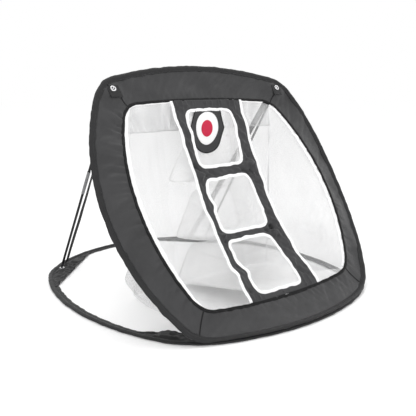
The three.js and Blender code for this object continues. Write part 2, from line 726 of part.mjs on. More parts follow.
// From level axes (y back, z up, measured from the hinge line) to the face's axes.
function fromLevel(x, y, z) {
  const up = z - HINGE_Z;
  const s = y * Math.sin(LEAN) + up * Math.cos(LEAN);
  const out = up * Math.sin(LEAN) - y * Math.cos(LEAN);
  return v3(x, s, out);
}

function bigNet() {
  const behind = TAPE_THICK / 2 + NET_BEHIND;
  const attach = inset(OPEN_LOOP, BLACK_TAPE);
  const per = OPEN_SIDES[0].length - 1;
  const run = (i) => trimmed(Array.from({ length: per + 1 }, (_, k) => (
    attach[(i * per + k) % attach.length].clone().addScaledVector(OUT, -behind))), 3);
  const [low, right, high, left] = [0, 1, 2, 3].map(run);
  const rows = 5;
  const sheet = (from, to, move) => Array.from({ length: rows + 1 }, (_, r) => (
    from.map((p, i) => move(p.clone().lerp(to[i], r / rows), r / rows, i / (from.length - 1)))));

  const floorBack = low.map((p) => fromLevel((p.x / OPEN_BOTTOM_HALF) * NET_REAR_HALF, NET_REAR_Y, NET_FLOOR_Z));
  const backBottom = high.map((p) => (
    fromLevel((p.x / OPEN_TOP_HALF) * NET_REAR_HALF, NET_REAR_Y + 4, NET_FLOOR_Z + 4)));
  const billow = fromLevel(0, NET_BILLOW, HINGE_Z);
  const back = sheet(high, backBottom, (p, down, across) => (
    p.addScaledVector(billow, Math.sin(Math.PI * down ** 0.6) * swell(across))));
  const floor = sheet(low, floorBack, (p) => p);
  const corner = (side, top) => (p, i, all) => {
    const share = i / (all.length - 1);
    const z = THREE.MathUtils.lerp(NET_FLOOR_Z + 6, top, side > 0 ? share : 1 - share);
    return fromLevel(side * (NET_REAR_HALF + 6), NET_REAR_Y - 4, z);
  };
  const topZ = HINGE_Z + OPEN_TOP * Math.cos(LEAN) - 40;
  const wall = (from, side) => {
    const to = from.map(corner(side, topZ));
    return sheet(from, to, (p, backward, along) => {
      const low = side > 0 ? 1 - along : along;
      p.x += side * NET_BULGE * swell(backward) * low;
      return p;
    });
  };
  const levelUp = UP_FACE.clone();
  const levelBack = fromLevel(0, 1, HINGE_Z);
  return [
    named('net_back', panel(back, MESH_SHEET, levelBack), NETTING),
    named('net_floor', panel(floor, MESH_SHEET, levelUp), NETTING),
    named('net_side_right', panel(wall(right, 1), MESH_SHEET, X), NETTING),
    named('net_side_left', panel(wall(left, -1), MESH_SHEET, X), NETTING),
  ];
}

// ---------- corners of the face ----------
function patchShape(side) {
  const h = PATCH_SIZE / 2;
  const corners = [[-h, -h], [h - 2, -h], [h - 2, h - PATCH_CHAMFER], [h - PATCH_CHAMFER, h], [-h, h]];
  return new THREE.Shape(corners.map(([x, y]) => new THREE.Vector2(side * x, y)));
}

function cornerPieces() {
  const patchLow = SHEET / 2 + CLEAR;
  const patchTop = patchLow + 1;
  return [['left', -1], ['right', 1]].flatMap(([label, side]) => {
    const x = side * POLE_X;
    const plate = new THREE.ExtrudeGeometry(patchShape(side), { depth: 1, bevelEnabled: false });
    plate.translate(x, FACE_GROMMET_S - 7, patchLow);
    const patch = named(`corner_patch_${label}`, cut(plate, ...FACE_HOLES), HEM_CLOTH);
    const ring = named(`face_grommet_${label}`, eyelet(-SHEET, patchTop), NICKEL);
    ring.position.set(x, FACE_GROMMET_S, 0);
    const tip = named(`pole_tip_${label}`, lathe([
      [0, 1 - POLE_END_GAP], [TIP_R, 1 - POLE_END_GAP], [TIP_R, TIP_PROUD - TIP_R],
      [TIP_R * 0.7, TIP_PROUD - 0.5], [0, TIP_PROUD],
    ]), BLACK_PLASTIC);
    tip.position.set(x, FACE_GROMMET_S, 0);
    tip.rotation.x = POLE_PITCH - (Math.PI / 2 - LEAN);
    return [patch, ring, tip];
  });
}

// ---------- poles ----------
const FACE_GROMMET = v3(0, FACE_GROMMET_S * Math.sin(LEAN), HINGE_Z + FACE_GROMMET_S * Math.cos(LEAN));
const POLE_FOOT_Z = GUSSET_TOP + CLEAR + GROMMET_METAL + CLEAR + CAP_R;
const POLE_FOOT = v3(0, BASE_GROMMET_Y, POLE_FOOT_Z);
const POLE_RUN = FACE_GROMMET.clone().sub(POLE_FOOT);
const POLE_LENGTH = POLE_RUN.length();
const POLE_PITCH = Math.atan2(POLE_RUN.z, POLE_RUN.y);

function pole(label, side) {
  const end = POLE_LENGTH - POLE_END_GAP;
  const joint = POLE_LENGTH * FERRULE_PLACE;
  const socket = CAP_LENGTH - 4;
  const cap = [[0, 0], [CAP_R * 0.7, 0], [CAP_R, CAP_R * 0.5], [CAP_R, CAP_LENGTH],
    [POLE_R + 0.3, CAP_LENGTH], [POLE_R + 0.3, CAP_LENGTH - socket], [0, CAP_LENGTH - socket]];
  const foot = cap.map(([r, y]) => [r, y === 0 ? -CAP_R : y]);
  const head = cap.map(([r, y]) => [r, end - y]).toReversed();
  const floor = CAP_LENGTH - socket + CLEAR;
  const sleeve = POLE_R + 0.3;
  const pieces = [
    named(`pole_foot_${label}`, lathe(foot, 12), BLACK_PLASTIC),
    named(`pole_lower_${label}`, tube(POLE_BORE, POLE_R, floor, joint - 1), GLASS_FIBRE),
    named(`pole_upper_${label}`, tube(POLE_BORE, POLE_R, joint + 1, end - floor), GLASS_FIBRE),
    named(`pole_ferrule_${label}`,
      tube(sleeve, sleeve + FERRULE_WALL, joint - FERRULE_LENGTH / 2, joint + FERRULE_LENGTH / 2),
      FERRULE_METAL),
    named(`pole_cap_${label}`, lathe(head, 12), BLACK_PLASTIC),
    named(`shock_cord_${label}`, lathe([
      [0, floor + CLEAR], [SHOCK_CORD_R, floor + CLEAR],
      [SHOCK_CORD_R, end - floor - CLEAR], [0, end - floor - CLEAR],
    ], 8), RUBBER_CORD),
  ];
  const group = new THREE.Group();
  group.position.set(side * POLE_X, POLE_FOOT.y, POLE_FOOT.z);
  group.rotation.x = POLE_PITCH;
  // A lathe stands along its own y axis, so the group's pitch lays y along the pole.
  group.add(...pieces);
  return group;
}

// ---------- straps ----------
function strap(label, side) {
  const top = fromFace(side * STRAP_TOP_X, FACE_GROMMET_S - 8, -4);
  const low = v3(side * STRAP_BASE_X, STRAP_BASE_Y, GUSSET_TOP + 3);
  const run = top.clone().sub(low);
  const length = run.length();
  const box = new THREE.BoxGeometry(STRAP_WIDTH, length, SHEET, 1, 12, 1);
  const mesh = named(`support_strap_${label}`, box, WEBBING);
  mesh.position.copy(low).addScaledVector(run, 0.5);
  const along = run.clone().normalize();
  const across = X.clone().addScaledVector(along, -X.dot(along)).normalize();
  const basis = new THREE.Matrix4().makeBasis(across, along, across.clone().cross(along));
  mesh.quaternion.setFromRotationMatrix(basis);
  return mesh;
}

function fromFace(x, s, out) {
  const y = s * Math.sin(LEAN) - out * Math.cos(LEAN);
  return v3(x, y, HINGE_Z + s * Math.cos(LEAN) + out * Math.sin(LEAN));
}

// ---------- bullseye flap: hangs straight down from its hinge line ----------
const FLAP_HINGE_S = POCKETS[0].top - POCKET_TAPE / 2;
const FLAP_HINGE = fromFace(POCKETS[0].x, FLAP_HINGE_S, bandDepth(FLAP_HINGE_S) - FLAP_BEHIND);

function flapShape() {
  const shape = new THREE.Shape();
  const shoulder = -FLAP_SHOULDER;
  shape.moveTo(-FLAP_TOP_WIDTH / 2, -2.5);
  shape.quadraticCurveTo(-FLAP_WIDTH / 2, -8, -FLAP_WIDTH / 2, shoulder);
  shape.quadraticCurveTo(-FLAP_WIDTH / 2, -FLAP_HEIGHT * 0.82, -14, -FLAP_HEIGHT + 3);
  shape.quadraticCurveTo(0, -FLAP_HEIGHT - 3, 14, -FLAP_HEIGHT + 3);
  shape.quadraticCurveTo(FLAP_WIDTH / 2, -FLAP_HEIGHT * 0.82, FLAP_WIDTH / 2, shoulder);
  shape.quadraticCurveTo(FLAP_WIDTH / 2, -8, FLAP_TOP_WIDTH / 2, -2.5);
  return shape;
}

function bullseye() {
  const options = { depth: SHEET, bevelEnabled: false, curveSegments: 8 };
  const flap = new THREE.ExtrudeGeometry(flapShape(), options).translate(0, 0, -SHEET / 2);
  const front = SHEET / 2 + CLEAR;
  const ring = tube(BULL_RED_R + CLEAR, BULL_WHITE_R, front, front + BULL_THICK, 24);
  const dot = lathe([[0, front], [BULL_RED_R, front], [BULL_RED_R, front + BULL_THICK],
    [0, front + BULL_THICK]], 24);
  const place = (geometry) => geometry.rotateX(Math.PI / 2).translate(0, -BULL_CENTRE, 0);
  const group = new THREE.Group();
  group.position.copy(FLAP_HINGE);
  group.rotation.x = Math.PI / 2;
  group.add(
    named('bullseye_flap', flap, NYLON),
    named('bullseye_ring', place(ring), WHITE_CLOTH),
    named('bullseye_center', place(dot), RED_CLOTH),
  );
  return group;
}

// ---------- assembly ----------
const face = new THREE.Group();
face.position.set(0, 0, HINGE_Z);
face.rotation.x = Math.PI / 2 - LEAN;
face.add(
  ...faceHoop(), ...faceHems(), ...faceBorders(), ...openingTapes(),
  centerBand(), ...pocketTapes(), ...pocketNets(), ...bigNet(), ...cornerPieces(),
);

const net = new THREE.Group();
net.position.y = ORIGIN_Y;
net.add(
  ...baseHoop(), ...baseHems(), ...baseGussets(), ...baseGrommets(),
  face, bullseye(), pole('left', -1), pole('right', 1), strap('left', -1), strap('right', 1),
);

export default net;
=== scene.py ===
"""Looks of a pop-up golf chipping net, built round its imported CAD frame.

Shapes are worked out in millimetres in two sets of axes that start at the fold line:
  face axes   x across, s up the slant of the face, out towards the golfer
  level axes  x across, y back along the ground, z above the ground
and go to the row frame, in metres, when a mesh is made.
"""
import json
import math

import bpy
import numpy as np
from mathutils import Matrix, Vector


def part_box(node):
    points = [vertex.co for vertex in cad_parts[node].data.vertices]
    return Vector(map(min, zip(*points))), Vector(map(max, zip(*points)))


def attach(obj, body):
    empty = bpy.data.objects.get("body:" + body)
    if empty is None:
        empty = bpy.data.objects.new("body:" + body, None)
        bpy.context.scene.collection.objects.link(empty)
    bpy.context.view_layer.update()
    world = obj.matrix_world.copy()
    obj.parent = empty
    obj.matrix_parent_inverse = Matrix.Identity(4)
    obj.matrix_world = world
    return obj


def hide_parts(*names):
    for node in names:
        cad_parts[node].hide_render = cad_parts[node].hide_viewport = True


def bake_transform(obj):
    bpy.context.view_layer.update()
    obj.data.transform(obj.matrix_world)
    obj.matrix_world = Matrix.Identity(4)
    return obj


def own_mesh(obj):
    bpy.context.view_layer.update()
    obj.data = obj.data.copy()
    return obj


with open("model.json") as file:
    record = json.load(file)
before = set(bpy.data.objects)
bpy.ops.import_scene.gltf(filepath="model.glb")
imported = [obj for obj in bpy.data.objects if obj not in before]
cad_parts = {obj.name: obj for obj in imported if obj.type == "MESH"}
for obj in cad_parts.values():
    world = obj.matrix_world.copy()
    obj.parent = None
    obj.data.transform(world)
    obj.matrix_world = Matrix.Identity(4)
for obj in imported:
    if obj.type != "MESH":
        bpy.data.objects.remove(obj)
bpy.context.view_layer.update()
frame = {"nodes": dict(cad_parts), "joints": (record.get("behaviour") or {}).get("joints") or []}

MM = 0.001
JOINTS = {j["name"]: j for j in frame["joints"]}
HINGE = np.array(JOINTS["face_fold"]["pos_m"], float)
POLE_FEET = {side: np.array(JOINTS[f"pole_{side}_swing"]["pos_m"], float) for side in ("left", "right")}
FLAP_LINE = np.array(JOINTS["flap_swing"]["pos_m"], float)
SIDES = (("left", -1), ("right", 1))

# ---------- sizes, in millimetres ----------
LEAN = math.radians(33)
SIN, COS = math.sin(LEAN), math.cos(LEAN)
FACE_BOTTOM_WIDTH, FACE_TOP_WIDTH, FACE_SLANT = 560, 582, 647
FACE_SIDE_BULGE, FACE_SIDE_BOW, FACE_TOP_BULGE, FRONT_BULGE = 103, 25, 42, 64
FACE_CORNER_CUT = 22
BASE_DEPTH, BASE_REAR_WIDTH = 710, 556
BASE_SIDE_BULGE, BASE_REAR_BULGE, BASE_CORNER_CUT = 116, 103, 55
SIDE_POWER = 0.8
WIRE_Z = 3.3

OPEN_TOP, OPEN_BOTTOM = 592, 54
OPEN_TOP_HALF, OPEN_BOTTOM_HALF = 244, 246
OPEN_TOP_RISE, OPEN_BOTTOM_DIP, OPEN_SIDE_BULGE, OPEN_CORNER_CUT = 11, 18, 71, 34
SET_BACK = 19              # the inner edge is pulled back by this much at the top

GROMMET_S, GROMMET_X, GROMMET_Y = 625, 275, 681

BAND_BOTTOM, BAND_TOP = 46, 598
BAND_X, BAND_END_HALF, BAND_WAIST, BAND_SAG = 10, 115, 7, 40
POCKETS = {                # corners on the band: (x, s), from the lower left, anticlockwise
    "top": ((-77, 412), (74, 414), (89, 573), (-71, 574)),
    "middle": ((-80, 231), (81, 232), (79, 387), (-74, 380)),
    "bottom": ((-75, 58), (78, 57), (69, 211), (-78, 212)),
}
POCKET_REAR = {            # back end of each pocket net: its corners as (x, z), and its y
    "top": (((-128, 294), (120, 288), (70, 430), (-52, 430)), 331),
    "middle": (((-112, 140), (128, 144), (78, 268), (-50, 268)), 324),
    "bottom": (((-112, 13), (112, 13), (76, 118), (-62, 118)), 322),
}
CURTAIN_Y, CURTAIN_HALF, CURTAIN_BULGE = 330, 239, 16
NET_LOW = 7
HEADER_LOW = 428            # lower edge of the doubled strip
BAG_ROWS, BAG_COLUMNS, HEADER_ROWS, WALL_ROWS = 70, 110, 12, 90


# ---------- axes ----------
def from_face(p):
    x, s, out = p[..., 0], p[..., 1], p[..., 2]
    return np.stack([x, s * SIN - out * COS, s * COS + out * SIN], -1) * MM + HINGE


def from_level(p):
    return p * MM + np.array([0, HINGE[1], 0])


def face_to_level(p):
    x, s, out = p[..., 0], p[..., 1], p[..., 2]
    return np.stack([x, s * SIN - out * COS, HINGE[2] / MM + s * COS + out * SIN], -1)


FACE_OUT = np.array([0, -COS, SIN])
UP = np.array([0, 0, 1.0])


# ---------- curves ----------
def swell(t, power=1.0):
    return np.maximum(4 * t * (1 - t), 0) ** power


def smooth(t):
    t = np.clip(t, 0, 1)
    return t * t * (3 - 2 * t)


def edge(a, b, *bulges):
    a, b = np.array(a, float), np.array(b, float)

    def at(t):
        t = np.asarray(t, float)[..., None]
        p = a + (b - a) * t
        for direction, size, power in bulges:
            p = p + np.array(direction, float) * size * swell(t, power)
        return p

    return at, float(np.linalg.norm(b - a))


def rounded_sides(edges, cut, along=90, corner=14):
    """Sides of a loop, each from the middle of one rounded corner to the middle of the next."""
    spans = [(at, cut / length, 1 - cut / length) for at, length in edges]

    def bend(before, after, t):
        a, b, c = before[0](before[2]), before[0](1.0), after[0](after[1])
        t = t[:, None]
        return a * (1 - t) ** 2 + 2 * b * t * (1 - t) + c * t * t

    sides = []
    for i, span in enumerate(spans):
        start = bend(spans[i - 1], span, np.linspace(0.5, 1, corner + 1)[:-1])
        middle = span[0](np.linspace(span[1], span[2], along))
        end = bend(span, spans[(i + 1) % 4], np.linspace(0, 0.5, corner + 1)[1:])
        sides.append(np.concatenate([start, middle, end]))
    return sides


def loop_of(sides):
    return np.concatenate([side[:-1] for side in sides])


def lengths(path, closed=False):
    steps = np.linalg.norm(np.diff(path, axis=0), axis=1)
    total = np.concatenate([[0], np.cumsum(steps)])
    if closed:
        total = np.append(total, total[-1] + np.linalg.norm(path[0] - path[-1]))
    return total


def resample(path, count, closed=False):
    run = np.concatenate([path, path[:1]]) if closed else path
    total = lengths(run)
    at = np.linspace(0, total[-1], count + 1)[:-1] if closed else np.linspace(0, total[-1], count)
    return np.stack([np.interp(at, total, run[:, k]) for k in range(3)], -1)


def unit(v):
    return v / np.maximum(np.linalg.norm(v, axis=-1, keepdims=True), 1e-12)


def headings(path, closed):
    if closed:
        return unit(np.roll(path, -1, 0) - np.roll(path, 1, 0))
    return unit(np.gradient(path, axis=0))


def moved_in(path, distance, normal=(0, 0, 1), closed=True):
    """Each point of an anticlockwise loop moved inwards."""
    inward = unit(np.cross(np.array(normal, float), headings(path, closed)))
    return path + inward * np.reshape(distance, (-1, 1))


def rough(x, seed, low, high, count=7):
    """Smooth irregular wave along x, about -1 to 1, with waves from low to high long."""
    rng = np.random.default_rng(seed)
    total = 0
    for wave in np.geomspace(low, high, count):
        total = total + math.sqrt(wave) * np.sin(2 * np.pi * x / wave + rng.uniform(0, 6.28))
    return total / math.sqrt(np.geomspace(low, high, count).sum() / 2)


def ripple(x, y, seed, low, high, count=9):
    """The same over a surface, with waves that run every way."""
    rng = np.random.default_rng(seed)
    total = 0
    for wave in np.geomspace(low, high, count):
        turn = rng.uniform(0, math.pi)
        across = x * math.cos(turn) + y * math.sin(turn)
        total = total + math.sqrt(wave) * np.sin(2 * np.pi * across / wave + rng.uniform(0, 6.28))
    return total / math.sqrt(np.geomspace(low, high, count).sum() / 2)


def creased(value, sharp=1.6):
    """Turns a smooth wave into narrow folds with flatter cloth between."""
    return np.sign(value) * np.abs(np.clip(value, -1.6, 1.6)) ** sharp


FORWARD = (0, -SIN, COS)        # towards the golfer along the ground, in face axes


def symmetric(low, high, front, side, rear, cut):
    """Rounded sides of a loop, anticlockwise from the front: front, right, rear and left.
    low and high are its right-hand corners; front, side and rear are the bulges of its edges,
    each a (direction, size, power), with side as it is on the right."""
    def across(p):
        return (-p[0], p[1], p[2])

    mirrored = [(across(direction), size, power) for direction, size, power in side]
    return rounded_sides([edge(across(low), low, front), edge(low, high, *side),
                          edge(high, across(high), rear), edge(across(high), across(low), *mirrored)], cut)


FACE_SIDES = symmetric(
    (FACE_BOTTOM_WIDTH / 2, 0, 0), (FACE_TOP_WIDTH / 2, FACE_SLANT, 0), (FORWARD, FRONT_BULGE, 1),
    [((1, 0, 0), FACE_SIDE_BULGE, SIDE_POWER), ((0, 0, -1), FACE_SIDE_BOW, 1.5)],
    ((0, 1, 0), FACE_TOP_BULGE, 1), FACE_CORNER_CUT)
OPEN_SIDES = symmetric(
    (OPEN_BOTTOM_HALF, OPEN_BOTTOM, 0), (OPEN_TOP_HALF, OPEN_TOP, 0), ((0, -1, 0), OPEN_BOTTOM_DIP, 1),
    [((1, 0, 0), OPEN_SIDE_BULGE, 0.9)], ((0, 1, 0), OPEN_TOP_RISE, 1), OPEN_CORNER_CUT)
for side in OPEN_SIDES:
    side[:, 2] -= SET_BACK * (side[:, 1] / FACE_SLANT) ** 2
BASE_SIDES = symmetric(
    (FACE_BOTTOM_WIDTH / 2, 0, WIRE_Z), (BASE_REAR_WIDTH / 2, BASE_DEPTH, WIRE_Z),
    ((0, -1, 0), FRONT_BULGE, 1), [((1, 0, 0), BASE_SIDE_BULGE, SIDE_POWER)],
    ((0, 1, 0), BASE_REAR_BULGE, 1), BASE_CORNER_CUT)


def side_of(loop, i):
    """Side i of a loop that was joined from four sides of one length, as loop_of does."""
    per = len(loop) // 4
    return loop[(np.arange(per + 1) + i * per) % len(loop)]


def ruled(a, b, steps):
    """Straight rows from curve a to curve b, and how far along each row lies, from 0 to 1."""
    share = np.linspace(0, 1, steps)[:, None, None]
    return a[None] * (1 - share) + b[None] * share, share[..., 0]


# ---------- materials ----------
class Graph:
    """A material's node tree, with short calls for its maths."""

    def __init__(self, name):
        self.material = bpy.data.materials.new(name)
        self.material.use_nodes = True
        self.tree = self.material.node_tree
        self.shader = self.tree.nodes["Principled BSDF"]

    def node(self, kind, **settings):
        made = self.tree.nodes.new(kind)
        for key, value in settings.items():
            setattr(made, key, value)
        return made

    def put(self, value, socket):
        if isinstance(value, bpy.types.NodeSocket):
            self.tree.links.new(value, socket)
        else:
            socket.default_value = value

    def maths(self, operation, *values):
        made = self.node("ShaderNodeMath", operation=operation)
        for value, socket in zip(values, made.inputs):
            self.put(value, socket)
        return made.outputs[0]

    def span(self, value, from_low, from_high, to_low, to_high):
        made = self.node("ShaderNodeMapRange", interpolation_type="SMOOTHSTEP")
        for key, number in zip(("Value", "From Min", "From Max", "To Min", "To Max"),
                               (value, from_low, from_high, to_low, to_high)):
            self.put(number, made.inputs[key])
        return made.outputs[0]

    def noise(self, scale, detail=3.0, roughness=0.55):
        place = self.node("ShaderNodeTexCoord").outputs["Object"]
        made = self.node("ShaderNodeTexNoise")
        self.put(place, made.inputs["Vector"])
        self.put(scale, made.inputs["Scale"])
        self.put(detail, made.inputs["Detail"])
        self.put(roughness, made.inputs["Roughness"])
        return made.outputs["Fac"]

    def threads(self):
        place = self.node("ShaderNodeTexCoord").outputs["UV"]
        apart = self.node("ShaderNodeSeparateXYZ")
        self.put(place, apart.inputs[0])
        return apart.outputs[0], apart.outputs[1]

    def mix(self, share, a, b):
        made = self.node("ShaderNodeMix", data_type="RGBA")
        self.put(share, made.inputs[0])
        self.put(a, made.inputs[6])
        self.put(b, made.inputs[7])
        return made.outputs[2]

    def bump(self, height, depth, strength, under=None):
        made = self.node("ShaderNodeBump")
        self.put(strength, made.inputs["Strength"])
        self.put(depth, made.inputs["Distance"])
        self.put(height, made.inputs["Height"])
        if under is not None:
            self.put(under, made.inputs["Normal"])
        return made.outputs[0]

    def set(self, **values):
        for key, value in values.items():
            self.put(value, self.shader.inputs[key.replace("_", " ")])


def shade(colour, factor):
    return tuple(min(c * factor, 1.0) for c in colour) + (1.0,)


def cloth(name, colour, pitch, roughness=0.62, sheen=0.15, mottle=0.14, weave=0.35, fuzz=0.0004,
          specular=0.35):
    """Woven cloth: a plain weave at its real pitch, with soft unevenness of dye and press."""
    g = Graph(name)
    u, v = g.threads()
    turn = 2 * math.pi / pitch
    warp = g.maths("SINE", g.maths("MULTIPLY", u, turn))
    weft = g.maths("SINE", g.maths("MULTIPLY", v, turn))
    cross = g.maths("MULTIPLY_ADD", g.maths("MULTIPLY", warp, weft), 0.5, 0.5)
    patches = g.noise(14.0, 4.0)
    streaks = g.noise(70.0, 3.0, 0.6)
    tone = g.mix(g.span(patches, 0.3, 0.7, 0.0, 1.0), shade(colour, 1 - mottle), shade(colour, 1 + mottle))
    tone = g.mix(g.maths("MULTIPLY", cross, weave), tone, shade(colour, 0.55))
    press = g.bump(streaks, fuzz, 0.35)
    g.set(Base_Color=tone, Roughness=g.span(streaks, 0.2, 0.8, roughness - 0.07, roughness + 0.08),
          Normal=g.bump(cross, 0.00012, 0.6, press))
    g.set(Sheen_Weight=sheen, Sheen_Roughness=0.45, Specular_IOR_Level=specular)
    return g.material


def netting(name, colour, cell, cover):
    """Knitted mesh: rounded holes between slanting strands. cover is the share that is thread."""
    g = Graph(name)
    u, v = g.threads()
    turn = math.pi / cell
    one = g.maths("SINE", g.maths("MULTIPLY", g.maths("ADD", u, v), turn))
    two = g.maths("SINE", g.maths("MULTIPLY", g.maths("SUBTRACT", u, v), turn))
    hole = g.maths("ABSOLUTE", g.maths("MULTIPLY", one, two))
    thread = g.span(hole, cover * 0.55, cover * 1.05, 1.0, 0.0)
    patches = g.noise(9.0, 3.0)
    g.set(Base_Color=g.mix(patches, shade(colour, 0.94), shade(colour, 1.03)),
          Alpha=g.maths("MULTIPLY", thread, g.span(patches, 0.25, 0.75, 0.86, 1.0)),
          Roughness=g.span(patches, 0.2, 0.8, 0.6, 0.75),
          Normal=g.bump(thread, 0.0003, 0.5))
    g.set(Sheen_Weight=0.2, Specular_IOR_Level=0.2)
    return g.material


def metal(name, colour, roughness, wear=0.5):
    """Bare or plated metal with fine scuffs and uneven polish."""
    g = Graph(name)
    scuffs = g.noise(400.0, 4.0, 0.65)
    clouds = g.noise(60.0, 2.0)
    g.set(Base_Color=g.mix(g.span(scuffs, 0.45, 0.8, 0.0, wear), shade(colour, 1.0), shade(colour, 0.6)),
          Roughness=g.span(clouds, 0.25, 0.75, roughness * 0.75, roughness * 1.35),
          Normal=g.bump(scuffs, 0.00005, 0.35))
    g.set(Metallic=1.0)
    return g.material


def plastic(name, colour, roughness, grain=900.0, pit_depth=0.00012):
    """Moulded or pulled plastic with fine pits and a worn gloss."""
    g = Graph(name)
    pits = g.noise(grain, 3.0, 0.6)
    wear = g.noise(45.0, 3.0)
    g.set(Base_Color=g.mix(g.span(wear, 0.5, 0.8, 0.0, 0.5), shade(colour, 1.0), shade(colour, 1.9)),
          Roughness=g.span(wear, 0.25, 0.75, roughness - 0.08, roughness + 0.1),
          Normal=g.bump(pits, pit_depth, 0.4))
    g.set(Specular_IOR_Level=0.3)
    return g.material


NYLON = cloth("nylon", (0.029, 0.029, 0.0305), 0.0007, 0.5, 0.1, specular=0.4)
BAND_NYLON = cloth("band_nylon", (0.026, 0.026, 0.028), 0.0007, 0.48, 0.1, specular=0.4)
# The hem cloth's dark colour also serves the corner gussets as painted shade, holding down the extra light
# they catch as they face up.
HEM_CLOTH_AND_GUSSET_SHADE = cloth("hem_cloth", (0.01, 0.01, 0.0108), 0.0009, 0.58, 0.06, fuzz=0.0007)
BLACK_TAPE = cloth("black_binding", (0.007, 0.007, 0.0075), 0.0011, 0.72, 0.06, weave=0.45,
                   specular=0.2)
WHITE_TAPE = cloth("white_binding", (0.88, 0.88, 0.885), 0.0011, 0.7, 0.2, 0.03, 0.1, 0.0006)
WHITE_CLOTH = cloth("white_cloth", (0.89, 0.89, 0.89), 0.0007, 0.6, 0.2, 0.03, 0.08)
RED_CLOTH = cloth("red_cloth", (0.55, 0.01, 0.052), 0.0007, 0.58, 0.15, 0.08, 0.2)
WEBBING = cloth("webbing", (0.006, 0.006, 0.0065), 0.0018, 0.7, 0.05, weave=0.5, fuzz=0.0005,
                specular=0.15)
NET = netting("netting", (0.64, 0.64, 0.645), 0.0026, 0.38)
# A denser net, also whitened far past NET as painted light: the bag's floor and the pocket bags sit in shade
# inside the bag and are brightened by colour.
NET_FINE_PAINTED_LIGHT = netting("netting_fine_painted_light", (0.99, 0.99, 0.99), 0.0022, 0.6)
BLACK_THREAD = cloth("black_thread", (0.03, 0.03, 0.032), 0.0004, 0.55, 0.3)
WHITE_THREAD = cloth("white_thread", (0.85, 0.85, 0.85), 0.0004, 0.6, 0.2, 0.02, 0.1)
STEEL = metal("spring_steel", (0.55, 0.55, 0.57), 0.32)
NICKEL = metal("nickel", (0.82, 0.82, 0.83), 0.16, 0.2)
FERRULE = metal("ferrule_metal", (0.22, 0.22, 0.225), 0.42, 0.35)
GLASS_FIBRE = plastic("glass_fibre", (0.004, 0.004, 0.0045), 0.42, 1400.0, 0.00006)
MOULDED = plastic("black_plastic", (0.018, 0.018, 0.02), 0.45)
CORD = cloth("shock_cord", (0.03, 0.03, 0.032), 0.0008, 0.7)


# ---------- meshes ----------
def build(name, points, faces, uvs, material):
    mesh = bpy.data.meshes.new(name)
    mesh.from_pydata([tuple(p) for p in points], [], [tuple(f) for f in faces])
    layer = mesh.uv_layers.new(name="UVMap")
    flat = np.array([uv for face in uvs for uv in face], np.float32).reshape(-1)
    layer.data.foreach_set("uv", flat)
    mesh.materials.append(material)
    mesh.polygons.foreach_set("use_smooth", [True] * len(mesh.polygons))
    mesh.update()
    obj = bpy.data.objects.new(name, mesh)
    bpy.context.scene.collection.objects.link(obj)
    return obj


def turned_out(points, faces):
    """True if the faces of a closed shape point outwards."""
    points = np.asarray(points) - np.mean(points, axis=0)
    volume = 0.0
    for face in faces:
        for k in range(1, len(face) - 1):
            a, b, c = points[face[0]], points[face[k]], points[face[k + 1]]
            volume += float(np.dot(a, np.cross(b, c)))
    return volume > 0


def grid(name, rows, material, wrap_rows=False, wrap_columns=False, capped=False):
    """A skin over rows[i][j], in metres. Its UV is the distance along and across the cloth."""
    count, size = rows.shape[:2]
    points = rows.reshape(-1, 3)
    down = np.mean([lengths(rows[:, j], wrap_rows) for j in range(0, size, max(size // 8, 1))], axis=0)
    across = np.mean([lengths(rows[i], wrap_columns) for i in range(0, count, max(count // 8, 1))], axis=0)
    faces, uvs = [], []
    for i in range(count if wrap_rows else count - 1):
        below = (i + 1) % count
        for j in range(size if wrap_columns else size - 1):
            right = (j + 1) % size
            faces.append((i * size + j, i * size + right, below * size + right, below * size + j))
            uvs.append(((across[j], down[i]), (across[j + 1], down[i]),
                        (across[j + 1], down[i + 1]), (across[j], down[i + 1])))
    if capped:
        for start, order in ((0, -1), ((count - 1) * size, 1)):
            face = tuple(start + j for j in range(size))[::order]
            faces.append(face)
            uvs.append(tuple((across[k - start], 0.0) for k in face))
    if wrap_columns and (capped or wrap_rows) and not turned_out(points, faces):
        faces = [face[::-1] for face in faces]
        uvs = [uv[::-1] for uv in uvs]
    return build(name, points, faces, uvs, material)


def thick(obj, thickness):
    modifier = obj.modifiers.new("thickness", "SOLIDIFY")
    modifier.thickness = thickness * MM
    modifier.offset = 0
    return obj


def frames(path, up, closed):
    along = headings(path, closed)
    up = np.broadcast_to(np.asarray(up, float), path.shape)
    away = unit(np.cross(along, up))
    return along, away, unit(np.cross(away, along))


def sweep(name, path, up, section, material, closed=False, widen=None, shift=None):
    """A section, in millimetres, carried along a path in the row frame. Its first coordinate
    points away from the middle of an anticlockwise loop and its second along up."""
    away, rise = frames(path, up, closed)[1:]
    section = np.array(section, float) * MM
    widen = np.ones(len(path)) if widen is None else widen
    centre = path if shift is None else path + away * (np.reshape(shift, (-1, 1)) * MM)
    rows = (centre[:, None] + away[:, None] * (section[None, :, :1] * widen[:, None, None])
            + rise[:, None] * (section[None, :, 1:] * widen[:, None, None]))
    return grid(name, rows, material, wrap_rows=closed, wrap_columns=True, capped=not closed)


def oval(half_width, half_thick, count=14, power=1.0):
    angle = np.linspace(0, 2 * np.pi, count, endpoint=False)
    c, s = np.cos(angle), np.sin(angle)
    return np.stack([half_width * np.sign(c) * np.abs(c) ** power,
                     half_thick * np.sign(s) * np.abs(s) ** power], -1)


def tape_section(width, height):
    """A folded tape: flat in the middle, with full round edges."""
    return oval(width / 2, height / 2, 16, 0.62)


